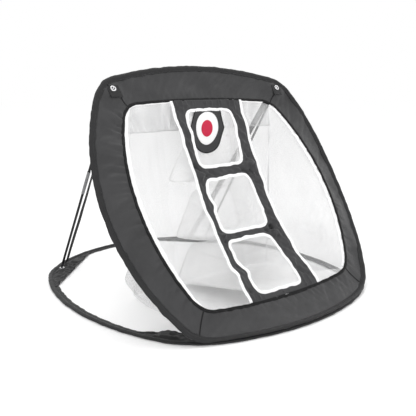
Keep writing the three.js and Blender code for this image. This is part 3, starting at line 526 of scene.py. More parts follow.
def stitches(name, runs, material, pitch=3.4, length=2.5, width=0.75, height=0.55):
    """Rows of thread, each stitch a small grain. A run is (path, up, away mm, rise mm, closed)."""
    points, faces, uvs = [], [], []
    grain = np.array([(-1, 0, 0), (0, -1, 0), (0, 0, 1), (0, 1, 0), (0, 0, -1), (1, 0, 0)], float)
    grain = grain * np.array([length, width, height]) / 2 * MM
    sides = [(0, 1, 2), (0, 2, 3), (0, 3, 4), (0, 4, 1), (5, 2, 1), (5, 3, 2), (5, 4, 3), (5, 1, 4)]
    for path, up, sideways, lift, closed in runs:
        total = lengths(path, closed)[-1]
        count = max(int(total / (pitch * MM)), 2)
        even = resample(path, count, closed)
        if np.ndim(up) == 2:        # one direction for each point of the path
            nearest = [int(np.argmin(np.sum((path - p) ** 2, axis=1))) for p in even]
            up = np.asarray(up)[nearest]
        along, away, rise = frames(even, up, closed)
        lie = unit(rise)
        centre = even + away * sideways * MM + lie * lift * MM
        for k in range(len(even)):
            start = len(points)
            for a, b, c in grain:
                points.append(centre[k] + along[k] * a + away[k] * b + lie[k] * c)
            for f in sides:
                faces.append(tuple(start + q for q in f[::-1]))
                uvs.append(((0, 0), (0.001, 0), (0, 0.001)))
    return build(name, points, faces, uvs, material)


def lathe(name, profile, base, axis, material, segments=36):
    """A profile of (radius, height), in millimetres, turned about an axis through base."""
    axis = unit(np.asarray(axis, float))
    side = unit(np.cross(axis, np.array([1.0, 0.001, 0.002])))
    other = np.cross(axis, side)
    angle = np.linspace(0, 2 * np.pi, segments, endpoint=False)
    ring = np.cos(angle)[:, None] * side + np.sin(angle)[:, None] * other
    profile = np.array(profile, float) * MM
    rows = np.array([base + axis * h + ring * max(r, 2e-5) for r, h in profile])
    hollow = np.allclose(profile[0], profile[-1])
    if hollow:
        return grid(name, rows[:-1], material, wrap_rows=True, wrap_columns=True)
    return grid(name, rows, material, wrap_columns=True, capped=True)


def rounded(points, radius, steps=5):
    """Rounds the corners of a profile of (r, h) points that runs open."""
    points = [np.array(p, float) for p in points]
    out = [points[0]]
    for a, b, c in zip(points, points[1:], points[2:]):
        into, away = a - b, c - b
        reach = min(radius, np.linalg.norm(into) / 2.2, np.linalg.norm(away) / 2.2)
        p, q = b + unit(into) * reach, b + unit(away) * reach
        for t in np.linspace(0, 1, steps):
            out.append(p * (1 - t) ** 2 + 2 * b * t * (1 - t) + q * t * t)
    return out + [points[-1]]


def stands_for(nodes):
    if nodes:
        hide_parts(*nodes)


def bends_at_fold(obj, slot, *nodes):
    """Hides the CAD nodes the piece stands for and bakes its place into its mesh; it is tied to no body."""
    stands_for(nodes)
    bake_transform(obj)


def rides(obj, body, slot, *nodes):
    stands_for(nodes)
    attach(obj, body)


def flattens(obj, *nodes):
    """Netting carried with the face body, on a mesh of its own, in place of the CAD nodes it stands for."""
    stands_for(nodes)
    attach(obj, "face")
    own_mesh(obj)


# ---------- base ----------
BASE_LOOP = from_level(resample(loop_of(BASE_SIDES), 520, closed=True))
BASE_SLEEVE = ([(6.0 * math.cos(a), 3.3 * math.sin(a)) for a in np.linspace(0, 2.5, 8)]
               + [(-6.4, -0.55), (-7.6, -0.85), (-12, -0.8), (-17.4, -0.85), (-18, -1.5),
                  (-17.4, -2.15), (-12, -2.1), (-7.6, -2.2), (-5.2, -3.3), (2.8, -3.3), (5.3, -2.0)])


def base_sleeve():
    run = lengths(BASE_LOOP, True)[:-1] / MM
    puff = 1 + 0.035 * rough(run, 3, 14, 60)
    sway = 0.35 * rough(run, 5, 30, 120)
    obj = sweep("base_sleeve", BASE_LOOP, UP, BASE_SLEEVE, HEM_CLOTH_AND_GUSSET_SHADE, True, puff, sway)
    for v in obj.data.vertices:     # nothing sinks into the ground
        v.co.z = max(v.co.z, 0.0)
    rides(obj, "base", "hem_cloth", *(f"base_hem_{n}" for n in ("front", "right", "rear", "left")))
    rows = [(BASE_LOOP, UP, -8.4, -0.7, True), (BASE_LOOP, UP, -16.4, -0.7, True)]
    rides(stitches("base_sleeve_stitching", rows, BLACK_THREAD), "base", "hem_cloth")


def gusset(corner, before, after, from_share, to_share):
    """Flat corner cloth between the sleeve and a straight hemmed edge across the corner. It runs
    from a share of the way along one side of the base to a share of the next."""
    name = f"gusset_{corner}"
    a = before[int(from_share * (len(before) - 1)):]
    b = after[1:int(to_share * (len(after) - 1)) + 1]
    arc = resample(moved_in(np.concatenate([a, b]), 9.0, closed=False), 90)
    chord = arc[0] + (arc[-1] - arc[0]) * np.linspace(0, 1, 90)[:, None]
    rows, share = ruled(arc, chord, 26)
    x, y = rows[..., 0], rows[..., 1]
    inside = smooth(share * 5) * swell(np.linspace(0, 1, 90))[None] ** 0.3
    lift = creased(ripple(x, y, len(name), 16, 90), 1.8) * 2.4 + 0.9
    lift = lift + 1.3 * np.maximum(rough(y - x * 0.4, 31, 60, 200, 4), 0) * share
    rows[..., 2] = 2.5 + np.clip(lift, -0.6, 6) * inside
    # The gusset takes the darker hem cloth as painted shade: it faces up and catches more light than the
    # border's nylon.
    obj = thick(grid(name, from_level(rows), HEM_CLOTH_AND_GUSSET_SHADE), 0.7)
    rides(obj, "base", "hem_cloth", f"base_gusset_{corner}")
    edge_run = from_level(rows[-1] + np.array([0, 0, 0.2]))
    rides(sweep(f"{name}_hem", edge_run, UP, tape_section(7, 1.8), HEM_CLOTH_AND_GUSSET_SHADE), "base", "hem_cloth")
    thread = stitches(f"{name}_stitching", [(edge_run, UP, 2.2, 0.85, False)], BLACK_THREAD)
    rides(thread, "base", "hem_cloth")


def eyelet(name, centre, axis, low, high, node, body):
    """A pressed two-part eyelet with a rolled lip, through cloth that lies from low to high."""
    lip = [(6.8 + math.cos(a), high + 0.25 + 1.1 * math.sin(a)) for a in np.linspace(0, 1.45, 5)]
    roll = [(5.6 - 1.3 * math.sin(a), high + 0.45 + 0.9 * math.cos(a)) for a in np.linspace(0.1, 1.5, 6)]
    profile = [(4.25, low - 0.2), (4.6, low - 0.75), (7.2, low - 0.8), (7.8, low - 0.3), (7.5, low),
               (5.0, low), (5.0, high + 0.1), (7.7, high + 0.1)] + lip + roll + [(4.25, low - 0.2)]
    rides(lathe(name, profile, centre, axis, NICKEL, 44), body, "nickel", node)


def base_pieces():
    base_sleeve()
    front, right, rear, left = BASE_SIDES
    gusset("rear_right", right, rear, 0.735, 0.27)
    gusset("rear_left", rear, left, 0.73, 0.265)
    gusset("front_right", front, right, 0.76, 0.225)
    gusset("front_left", left, front, 0.775, 0.24)
    for label, side in SIDES:
        centre = from_level(np.array([side * GROMMET_X, GROMMET_Y, 0.0]))
        eyelet(f"base_eyelet_{label}", centre, UP, 1.1, 4.0, f"base_grommet_{label}", "base")


# ---------- face: hoop, sleeve and border ----------
FACE_LOOP_MM = resample(loop_of(FACE_SIDES), 560, closed=True)
FACE_LOOP = from_face(FACE_LOOP_MM)
FACE_SLEEVE = ([(6.1 * math.cos(a), 3.3 * math.sin(a)) for a in np.linspace(0, 2.55, 9)]
               + [(-6.3, 1.15), (-7.4, 0.85), (-10.4, 0.8), (-10.9, 0.0), (-10.4, -0.8),
                  (-7.4, -0.85), (-6.3, -1.15)]
               + [(6.1 * math.cos(a), 3.3 * math.sin(a)) for a in np.linspace(-2.55, -0.35, 8)])


def on_ground(loop_mm):
    """1 where the face's front edge lies on the ground, 0 where it stands clear."""
    return smooth((14 - loop_mm[:, 1]) / 30)[:, None] * (np.abs(loop_mm[:, :1]) < 300)


def face_up(loop_mm):
    """Across the cloth: out of the face, but straight up where the front edge lies on the ground."""
    ground = on_ground(loop_mm)
    return unit(FACE_OUT * (1 - ground) + UP * ground)


def face_sleeve():
    run = lengths(FACE_LOOP, True)[:-1] / MM
    up = face_up(FACE_LOOP_MM)
    puff = 1 + 0.04 * rough(run, 11, 12, 50)
    sway = 0.4 * rough(run, 13, 26, 110)
    obj = sweep("face_sleeve", FACE_LOOP, up, FACE_SLEEVE, HEM_CLOTH_AND_GUSSET_SHADE, True, puff, sway)
    bends_at_fold(obj, "hem_cloth", *(f"face_hem_{n}" for n in ("bottom", "right", "top", "left")))
    wire = sweep("face_wire", resample(FACE_LOOP, 300, True), UP, oval(1.25, 1.25, 10), STEEL, True)
    bends_at_fold(wire, "spring_steel", "face_hoop_wire")


def border_rows(i, count=150, steps=26):
    """Border panel i: from the sleeve to the inner edge, with folds gathered by the binding."""
    wire = loop_of(FACE_SIDES)
    ground = on_ground(wire)
    outer_loop = moved_in(wire, 7.6) * (1 - ground) + (wire - 7.6 * np.array(FORWARD)) * ground
    outer = resample(side_of(outer_loop, i), count)
    inner = resample(OPEN_SIDES[i], count)
    rows, share = ruled(outer, inner, steps)
    run = lengths(inner)
    width = np.linalg.norm(outer - inner, axis=1)[None]
    across = share * width
    ends = smooth(np.minimum(run, run[-1] - run) / 26)[None]
    hold = np.exp(-(width - across) / 20) * smooth((width - across) / 7)
    gather = hold * creased(rough(run + 40 * i, 41 + i, 13, 34), 1.3)[None]
    strength = {0: 1.1, 1: 1.2, 2: 0.45, 3: 2.4}[i]
    slant = run[None] + (0.55 if i in (1, 3) else -0.9) * across
    folds = 1.1 * creased(rough(slant, 51 + i, 22, 120), 1.4)
    soft = 1.6 * ripple(run[None] + 0 * across, across, 61 + i, 60, 260)
    hollow = -3.0 * np.sin(np.pi * share)
    near = np.hypot(np.abs(rows[..., 0]) - GROMMET_X, rows[..., 1] - GROMMET_S)
    calm = smooth((near - 12) / 34)
    body = np.sin(np.pi * share) ** 0.5
    lift = (gather * strength + (folds + soft) * body) * ends + hollow
    rows[..., 2] = rows[..., 2] * calm + lift * calm
    if i == 0:
        rows[..., 2] = np.where(share < 0.001, outer[None, :, 2], rows[..., 2])
    return rows


def face_border():
    seams = []
    for i, label in enumerate(("bottom", "right", "top", "left")):
        rows = border_rows(i)
        obj = thick(grid(f"border_{label}", from_face(rows), NYLON), 0.6)
        bends_at_fold(obj, "nylon", f"face_border_{label}")
        seams.append(from_face(rows[:, 0] + np.array([0, 0, 0.5])))
    for k, seam in enumerate(seams):
        path = resample(seam, 30)
        strip = sweep(f"mitre_seam_{k + 1}", path, FACE_OUT, tape_section(2.2, 1.3), BLACK_TAPE)
        bends_at_fold(strip, "hem_cloth")
    thread = stitches("face_sleeve_stitching", [(FACE_LOOP, face_up(FACE_LOOP_MM), -8.9, 0.95, True)],
                      BLACK_THREAD)
    bends_at_fold(thread, "hem_cloth")


OPEN_LOOP_MM = resample(loop_of(OPEN_SIDES), 480, closed=True)


def inner_binding():
    path = from_face(moved_in(OPEN_LOOP_MM, 1.7))
    run = lengths(path, True)[:-1] / MM
    obj = sweep("inner_edge_binding", path, FACE_OUT, tape_section(8.0, 3.0), BLACK_TAPE, True,
                1 + 0.04 * rough(run, 21, 12, 40), 0.25 * rough(run, 23, 16, 60))
    rides(obj, "face", "black_binding", "inner_binding")
    thread = stitches("inner_edge_stitching", [(path, FACE_OUT, 1.6, 1.35, True)], BLACK_THREAD)
    rides(thread, "face", "black_binding")


# ---------- centre band ----------
def band_share(s):
    return np.clip((s - BAND_BOTTOM) / (BAND_TOP - BAND_BOTTOM), 0, 1)


def band_half(s):
    return BAND_END_HALF - BAND_WAIST * swell(band_share(s))


def pocket_gap(x, s, name, grow=0.0):
    """How far a point lies outside a pocket's outline, in millimetres; negative inside."""
    outline = pocket_outline(name)[:, :2]
    points = np.stack([np.ravel(x), np.ravel(s)], -1)
    best = np.full(len(points), 1e9)
    inside = np.zeros(len(points), bool)
    for a, b in zip(outline, np.roll(outline, -1, 0)):
        span = b - a
        t = np.clip(((points - a) @ span) / (span @ span), 0, 1)
        best = np.minimum(best, np.linalg.norm(points - a - t[:, None] * span, axis=1))
        crossing = (a[1] > points[:, 1]) != (b[1] > points[:, 1])
        at = a[0] + (points[:, 1] - a[1]) * span[0] / (span[1] if span[1] else 1e-9)
        inside ^= crossing & (points[:, 0] < at)
    return np.reshape(np.where(inside, -best, best), np.shape(x)) - grow


# Where cloth bunches beside a pocket and pushes its left edge in: height and depth.
BUNCHES = {"top": (505, 2), "middle": (309, 8), "bottom": (122, 11)}


def pocket_outline(name, inset=0.0, per_side=26):
    """A pocket's edge: four slightly bowed sides with round corners, as (x, s, 0)."""
    corners = np.array([(x, s, 0.0) for x, s in POCKETS[name]])
    edges = []
    for a, b, bow in zip(corners, np.roll(corners, -1, 0), (1.5, 5.0, 2.5, 2.0)):
        outward = np.cross(unit(b - a), (0, 0, 1))
        edges.append(edge(a, b, (outward, bow, 1)))
    sides = rounded_sides(edges, 23, per_side, 8)
    loop = resample(loop_of(sides), 4 * per_side + 24, closed=True)
    height, depth = BUNCHES[name]
    near = np.exp(-((loop[:, 1] - height) / 13) ** 2) * (loop[:, 0] < -30)
    above = np.exp(-((loop[:, 1] - height - 34) / 17) ** 2) * (loop[:, 0] < -30)
    loop[:, 0] += depth * near - 0.35 * depth * above
    run = lengths(loop, True)[:-1]
    loop = moved_in(loop, 0.7 * rough(run, 17 + len(name), 28, 110, 5))
    return moved_in(loop, inset) if inset else loop


def band_out(x, s):
    """Depth of the band's taped edges: a hammock's sag between its two sewn ends."""
    share = band_share(s)
    sag = np.sin(np.pi * share ** 0.77) * np.tanh(7 * share)
    depth = -(SET_BACK * 0.75 * share ** 1.5 + BAND_SAG * sag) - 1.0
    side = (x - BAND_X) / band_half(s)
    slack = 0.5 * rough(s, 73, 60, 190, 4) - 3.5 * (1 - side ** 2)
    return depth + slack * smooth(np.minimum(share, 1 - share) * 16)


def band_crumples(x, s, gap):
    """Wrinkles of the loose cloth between the tapes, deepest beside the pockets' corners."""
    share = band_share(s)
    corner = 0
    for corners in POCKETS.values():
        for cx, cs in corners:
            corner = corner + np.exp(-(((x - cx * 1.12) / 26) ** 2 + ((s - cs) / 22) ** 2))
    free = smooth((gap - 3) / 8) * smooth((band_half(s) - np.abs(x - BAND_X) - 2) / 8)
    crumple = creased(ripple(x, s, 71, 18, 60, 7), 2.0) * (1.2 + 2.6 * corner)
    ends = np.minimum(share, 1 - share)
    tuck = 1.6 * np.maximum(creased(rough(x, 79, 9, 30), 2), 0) * np.exp(-ends * 22)
    return free * (crumple * smooth(ends * 16) + tuck * smooth(ends * 120))


def band_edge_x(side, s):
    wave = 1.3 * rough(s, 77 + side, 60, 200, 5)
    bunch = 8.0 * np.exp(-((s - 120) / 14) ** 2) - 5.0 * np.exp(-((s - 76) / 20) ** 2)
    return BAND_X + side * band_half(s) + (wave + bunch * (side < 0)) * smooth(band_share(s) * 12)


def center_band():
    s = np.linspace(BAND_BOTTOM - 4, BAND_TOP + 1, 230)
    across = np.linspace(0, 1, 92)
    left, right = band_edge_x(-1, s), band_edge_x(1, s)
    x = left[:, None] + (right - left)[:, None] * across[None]
    along = np.broadcast_to(s[:, None], x.shape)
    gap = np.minimum.reduce([pocket_gap(x, along, name) for name in POCKETS])
    plane = np.stack([x, along, np.zeros_like(x)], -1)
    for name in POCKETS:            # cloth beside a hole is drawn onto the hole's edge
        near = pocket_gap(x, along, name)
        outline = pocket_outline(name)
        pull = (near < 0) & (near > -2.6)
        for i, j in np.argwhere(pull):
            away = np.linalg.norm(outline[:, :2] - plane[i, j, :2], axis=1)
            plane[i, j, :2] = outline[np.argmin(away), :2]
    plane[..., 2] = band_out(plane[..., 0], plane[..., 1]) + band_crumples(plane[..., 0], along, gap)
    points = from_face(plane)
    size = x.shape[1]
    faces, uvs = [], []
    inside = gap < -2.6
    for i in range(len(s) - 1):
        for j in range(size - 1):
            if inside[i, j] or inside[i, j + 1] or inside[i + 1, j] or inside[i + 1, j + 1]:
                continue
            if max(gap[i, j], gap[i, j + 1], gap[i + 1, j], gap[i + 1, j + 1]) <= 0:
                continue
            corners = ((i, j), (i, j + 1), (i + 1, j + 1), (i + 1, j))
            faces.append(tuple(a * size + b for a, b in corners))
            uvs.append(tuple((x[c] * MM, along[c] * MM) for c in corners))
    used = sorted({k for face in faces for k in face})
    index = {k: n for n, k in enumerate(used)}
    faces = [tuple(index[k] for k in face) for face in faces]
    obj = build("band", points.reshape(-1, 3)[used], faces, uvs, BAND_NYLON)
    thick(obj, 0.6)
    rides(obj, "face", "nylon", "center_band")


def band_edges():
    for label, side in SIDES:
        s = np.linspace(BAND_BOTTOM, BAND_TOP - 1, 240)
        x = band_edge_x(side, s)
        path = from_face(np.stack([x + side * 3.0, s, band_out(x, s)], -1))
        path = resample(path, 260)
        run = lengths(path) / MM
        obj = sweep(f"band_edge_{label}", path, FACE_OUT, tape_section(9.0, 2.4), WHITE_TAPE,
                    widen=1 + 0.05 * rough(run, 81 + side, 14, 60), shift=0.3 * rough(run, 83 + side, 20, 70))
        rides(obj, "face", "white_binding", f"opening_binding_{label}")
        thread = stitches(f"band_edge_stitching_{label}", [(path, FACE_OUT, -2.6 * side, 1.15, False)],
                          WHITE_THREAD)
        rides(thread, "face", "white_binding")


def pocket_bindings():
    for k, name in enumerate(POCKETS):
        loop = pocket_outline(name, 3.4)
        loop[:, 2] = band_out(loop[:, 0], loop[:, 1]) + 0.4
        path = resample(from_face(loop), 220, True)
        run = lengths(path, True)[:-1] / MM
        obj = sweep(f"pocket_edge_{name}", path, FACE_OUT, tape_section(8.6, 3.0), WHITE_TAPE, True,
                    1 + 0.07 * rough(run, 91 + k, 12, 50), 0.3 * rough(run, 95 + k, 18, 60))
        rides(obj, "face", "white_binding", f"pocket_binding_{name}")
        thread = stitches(f"pocket_stitching_{name}", [(path, FACE_OUT, 2.2, 1.3, True)], WHITE_THREAD)
        rides(thread, "face", "white_binding")


# ---------- nets ----------
def net_attachment(i, count):
    """Where the bag is sewn on, behind the binding on side i of the opening."""
    run = resample(side_of(moved_in(loop_of(OPEN_SIDES), 6.0), i), count)
    run[:, 2] -= 5.0
    return face_to_level(run)


def belly(z, back):
    """How far the slack cloth of a side net stands out, low down and towards the back."""
    low = np.exp(-((z - 84) / 46) ** 2)
    return 16 * swell(back) * smooth((400 - z) / 300) + 50 * low * np.sin(np.pi * back ** 1.2) ** 1.2


def fall(back):
    """How far the bag's floor has come down, at a share of the way back from the opening."""
    return 54 * ((1 - back) ** 3.2 - 1)


def bag():
    high = net_attachment(2, BAG_COLUMNS)[::-1]
    low = net_attachment(0, BAG_COLUMNS)
    down = np.linspace(0, 1, BAG_ROWS)[:, None]
    lateral = np.linspace(-1, 1, BAG_COLUMNS)[None]
    top = high[None]

    # back curtain
    x = top[..., 0] + (lateral * CURTAIN_HALF - top[..., 0]) * smooth(down * 4)
    z = top[..., 2] * (1 - down) + (NET_LOW + 1) * down
    bulge = CURTAIN_Y + CURTAIN_BULGE * (1 - lateral ** 2)
    y = top[..., 1] + (bulge - top[..., 1]) * smooth(down * 5)
    fold = creased(rough(x + 0.12 * z, 101, 34, 150), 1.3) * 5.0 * smooth(down * 2)
    y = y + fold * (1 - lateral ** 6) + 5 * ripple(x, z, 103, 70, 240) * swell(down)
    curtain = np.stack([x, np.maximum(y, CURTAIN_Y - 4), z], -1)
    obj = grid("net_curtain", from_level(curtain), NET)
    flattens(obj, "net_back")

    # doubled strip along the top of the curtain, with its rolled hem
    header = curtain[:HEADER_ROWS] - np.array([0, 1.6, 0])
    drop = (top[..., 2] - HEADER_LOW) / (HEADER_ROWS - 1)
    header[..., 2] = top[..., 2] - drop * np.arange(HEADER_ROWS)[:, None]
    obj = grid("net_header", from_level(header), NET)
    flattens(obj)
    hem = sweep("net_header_hem", resample(from_level(header[-1]), 90), (0, -1, 0), oval(1.6, 0.8, 8), NET)
    flattens(hem)

    # floor
    back = np.linspace(0, 1, BAG_ROWS)[:, None]
    x = low[None, :, 0] * (1 - back) + lateral * CURTAIN_HALF * back
    z = low[None, :, 2] + fall(back)
    slack = 3.0 * np.maximum(ripple(x, 300 * back + 0 * x, 107, 50, 200), 0)
    z = np.maximum(z, NET_LOW) + slack * swell(back)
    y = low[None, :, 1] * (1 - back) + CURTAIN_Y * back
    x = x + np.sign(lateral) * np.abs(lateral) ** 4 * belly(z, back)
    floor = np.stack([x, y + 0 * x, z + 0 * x], -1)
    # The floor takes the whitened netting as painted light against the shade that falls low inside the bag.
    obj = grid("net_floor_cloth", from_level(floor), NET_FINE_PAINTED_LIGHT)
    flattens(obj, "net_floor")
    for label, side in SIDES:
        side_net(label, side, high[-1 if side > 0 else 0])
        net_edge_tape(label, side)


def side_net(label, side, seam_top):
    """The net between one side of the opening and the curtain, with its taped corner seam."""
    arc = net_attachment(1, WALL_ROWS) if side > 0 else net_attachment(3, WALL_ROWS)[::-1]
    height = np.linspace(0, 1, WALL_ROWS)[:, None]
    seam = np.stack([np.full(WALL_ROWS, side * CURTAIN_HALF), np.full(WALL_ROWS, CURTAIN_Y),
                     NET_LOW + 1 + (seam_top[2] - 12 - NET_LOW) * height[:, 0]], -1)
    back = np.linspace(0, 1, 60)[None]
    x, y, z = (arc[:, None, k] * (1 - back) + seam[:, None, k] * back for k in range(3))
    straight = arc[0, 2] * (1 - back) + (NET_LOW + 1) * back
    bottom = arc[0, 2] + fall(back) - straight
    z = np.maximum(z + bottom * (1 - height) ** 5, NET_LOW)
    waves = 3.2 * ripple(y, z, 111 + side, 60, 220)
    waves = waves + 2.4 * creased(rough(y + 0.4 * z, 113 + side, 30, 120))
    x = x + side * belly(z, back) + waves * swell(back) * smooth(height * 5) * smooth((1 - height) * 6)
    wall = from_level(np.stack([x, y, z], -1))
    obj = grid(f"net_wall_{label}", wall, NET)
    flattens(obj, f"net_side_{label}")
    tape = sweep(f"net_corner_seam_{label}", resample(from_level(seam), 60), (side, 0.8, 0),
                 tape_section(4.0, 1.0), WHITE_TAPE)
    flattens(tape)


def net_edge_tape(label, side):
    """White tape that shows inside the binding on one side, widest at half height."""
    outer = resample(side_of(moved_in(loop_of(OPEN_SIDES), 4.6), 1 if side > 0 else 3), 160)
    fade = swell(np.linspace(0, 1, 160), 0.35)
    inner = moved_in(outer, 2.5 + (13.0 if side < 0 else 9.0) * fade, closed=False)
    strip, share = ruled(outer, inner, 6)
    pleats = 0.6 * creased(rough(lengths(outer), 117 + side, 10, 44))
    strip[..., 2] += -1.4 - 3.0 * share + pleats[None]
    obj = thick(grid(f"net_edge_tape_{label}", from_face(strip), WHITE_TAPE), 0.8)
    rides(obj, "face", "white_binding")


def pocket_net(name):
    """A bag of net behind a pocket, from its edge back to the curtain."""
    rim = pocket_outline(name, 3.0)
    rim[:, 2] = band_out(rim[:, 0], rim[:, 1]) - 1.6
    rim = face_to_level(rim)
    corners, rear_y = POCKET_REAR[name]
    low, high = corners[0][1], corners[2][1]
    sides = rounded_sides([edge((a[0], a[1], 0), (b[0], b[1], 0))
                           for a, b in zip(corners, corners[1:] + corners[:1])], 22, 26, 8)
    flat = resample(loop_of(sides), len(rim), closed=True)
    rear = np.stack([flat[:, 0], np.full(len(flat), float(rear_y)), flat[:, 1]], -1)
    rows, back = ruled(rim, rear, 40)
    around = np.linspace(0, 2 * np.pi, len(rim), endpoint=False)[None]
    middle = rear.mean(0)
    under = smooth((middle[2] - rear[None, :, 2]) / (high - low) + 0.5)
    rows[..., 2] -= (3 if name == "bottom" else 16) * np.sin(np.pi * back ** 0.8) * under
    seed = len(name)
    wave = 5.0 * creased(0.6 * np.sin(5 * around + seed) + 0.7 * np.sin(13 * around + 2 * back + seed), 1.4)
    rows[..., 0] += wave * swell(back)
    rows[..., 2] += 0.8 * wave * swell(back) * np.cos(around)
    cap = [middle + (rows[-1] - middle) * shrink + np.array([0, 3.0 * (1 - shrink), 0])
           for shrink in (0.85, 0.66, 0.47, 0.28, 0.12, 0.02)]
    rows = np.concatenate([rows, np.array(cap)])
    rows[..., 1] = np.minimum(rows[..., 1], 334)
    # The pocket bags take the denser netting, whitened as painted light.
    obj = grid(f"pocket_bag_{name}", from_level(rows), NET_FINE_PAINTED_LIGHT, wrap_columns=True)
    flattens(obj, f"pocket_net_{name}")


# ---------- bullseye flap ----------
FLAP_TALL, FLAP_SHOULDER, FLAP_HALF_TOP, FLAP_HALF = 114, 48, 42, 57
BULLSEYE_Z = -48            # centre of the discs, below the flap's upper edge
BULLSEYE_EGG = 0.0025       # the discs widen by this share for each millimetre upwards


def on_flap(x, z, proud):
    """Points on the flap's wavy cloth, or proud of it, z below its upper edge."""
    low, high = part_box("bullseye_flap")
    hung_from = np.array([(low.x + high.x) / 2, FLAP_LINE[1] + 0.0025, FLAP_LINE[2] - 0.0045])
    wavy = 2.2 * np.sin(-z / 34) + 1.6 * ripple(x, z, 121, 40, 150) * (-z / FLAP_TALL) - 0.0012 * x * x
    return np.stack([x, wavy - proud, z], -1) * MM + hung_from


def on_bullseye(radius, angle, tall_share, proud):
    z = BULLSEYE_Z + tall_share * radius * np.sin(angle)
    return on_flap(radius * np.cos(angle) * (1 + BULLSEYE_EGG * (z - BULLSEYE_Z)), z, proud)


def flap():
    """Hangs from a seam behind the top pocket's upper edge."""
    drop = FLAP_TALL * np.linspace(0, 1, 70) ** 0.9
    upper = FLAP_HALF_TOP + (FLAP_HALF - FLAP_HALF_TOP) * (drop / FLAP_SHOULDER) ** 0.85
    below = np.maximum(drop - FLAP_SHOULDER, 0) / (FLAP_TALL - FLAP_SHOULDER)
    lower = FLAP_HALF * (1 - 0.42 * below) * np.sqrt(np.maximum(1 - below ** 6, 0))
    width = np.maximum(np.where(drop < FLAP_SHOULDER, upper, lower), 4.0)
    x = width[:, None] * np.linspace(-1, 1, 60)[None]
    rows = on_flap(x, -drop[:, None] + 0 * x, 0)
    obj = thick(grid("flap_cloth", rows, BAND_NYLON), 0.9)
    rides(obj, "flap", "nylon", "bullseye_flap")
    rim = np.concatenate([rows[:, 0], rows[-1, 1:-1], rows[::-1, -1]])
    piping = sweep("flap_piping", resample(rim, 150), (0, -1, 0), oval(1.5, 1.3, 10), BLACK_TAPE)
    rides(piping, "flap", "hem_cloth")

    angle = np.linspace(0, 2 * np.pi, 72, endpoint=False)
    for name, outer, tall_share, proud, material, thread, slot, node in (
            ("disc", 38, 1.17, 1.0, WHITE_CLOTH, WHITE_THREAD, "white_cloth", "bullseye_ring"),
            ("dot", 19, 1.18, 1.9, RED_CLOTH, RED_CLOTH, "red_cloth", "bullseye_center")):
        rings = on_bullseye(np.linspace(0.3, outer, 14)[:, None], angle[None], tall_share, proud)
        obj = thick(grid(f"bullseye_{name}", rings, material, wrap_columns=True), 0.6)
        rides(obj, "flap", slot, node)
        run = on_bullseye(outer - 1.6, angle, tall_share, proud + 0.35)
        obj = stitches(f"bullseye_{name}_stitching", [(run, (0, -1, 0), 0, 0, True)], thread,
                       2.6, 1.9, 0.6, 0.5)
        rides(obj, "flap", slot)


# ---------- corners of the face ----------
# Corners of the right patch, from its eyelet: x outwards, s up.
PATCH_CORNERS = ((-20, -24), (12, -24), (15, 1), (8, 9), (-17, 10))


def corner_patches():
    for label, side in SIDES:
        corners = [(side * (GROMMET_X + a), GROMMET_S + b, 0.0) for a, b in PATCH_CORNERS][::side]
        outline = resample(np.array(corners), 80, closed=True)
        middle = np.array([side * GROMMET_X, GROMMET_S, 0.0])
        hole = middle + unit(outline - middle) * 5.2
        rows, share = ruled(hole, outline, 12)
        creases = 0.25 * ripple(rows[..., 0], rows[..., 1], 131, 12, 40)
        rows[..., 2] = 1.25 + creases * share - 0.35 * share ** 6
        obj = thick(grid(f"patch_{label}", from_face(rows), HEM_CLOTH_AND_GUSSET_SHADE, wrap_columns=True), 0.8)
        rides(obj, "face", "hem_cloth", f"corner_patch_{label}")
        run = from_face(moved_in(outline, 2.4) + np.array([0, 0, 1.75]))
        thread = stitches(f"patch_stitching_{label}", [(run, FACE_OUT, 0, 0, True)], BLACK_THREAD, 2.8, 2.0)
        rides(thread, "face", "hem_cloth")
        eyelet(f"face_eyelet_{label}", from_face(middle), FACE_OUT, -1.3, 1.9,
               f"face_grommet_{label}", "face")


# ---------- poles and straps ----------
TUBE_R, TUBE_BORE = 3.5, 2.4
FERRULE_R, FERRULE_BORE, FERRULE_HALF = 4.4, 3.7, 38
CAP_R, CAP_BORE = 4.0, 3.7


def tube(low, high):
    ring = [(TUBE_BORE, low), (TUBE_R, low), (TUBE_R, high), (TUBE_BORE, high)]
    return rounded(ring, 0.4) + ring[:1]


def ferrule(middle):
    """A metal sleeve with a crimped groove near each end."""
    half = [(FERRULE_BORE, -FERRULE_HALF), (FERRULE_R, -FERRULE_HALF), (FERRULE_R, -30), (4.2, -28.5),
            (FERRULE_R, -27)]
    ring = [(r, middle + h) for r, h in half] + [(r, middle - h) for r, h in half[::-1]]
    return rounded(ring, 0.35, 3) + ring[:1]


def pole_caps(end):
    """Profiles of the moulded foot and head: the same cap, with the foot's floor 3.6 mm lower."""
    cap = [(0, 0), (2.6, 0), (CAP_R, 1.6), (CAP_R, 4.4), (3.8, 4.9), (CAP_R, 5.4), (CAP_R, 7.4), (3.8, 7.9),
           (CAP_R, 8.4), (CAP_R, 15.2), (CAP_BORE, 16), (CAP_BORE, 4.2), (0, 4.2)]
    foot = rounded([(r, h - 3.6 if h == 0 else h) for r, h in cap], 0.8, 4)
    head = rounded([(r, end - h) for r, h in cap][::-1], 0.8, 4)
    return foot, head


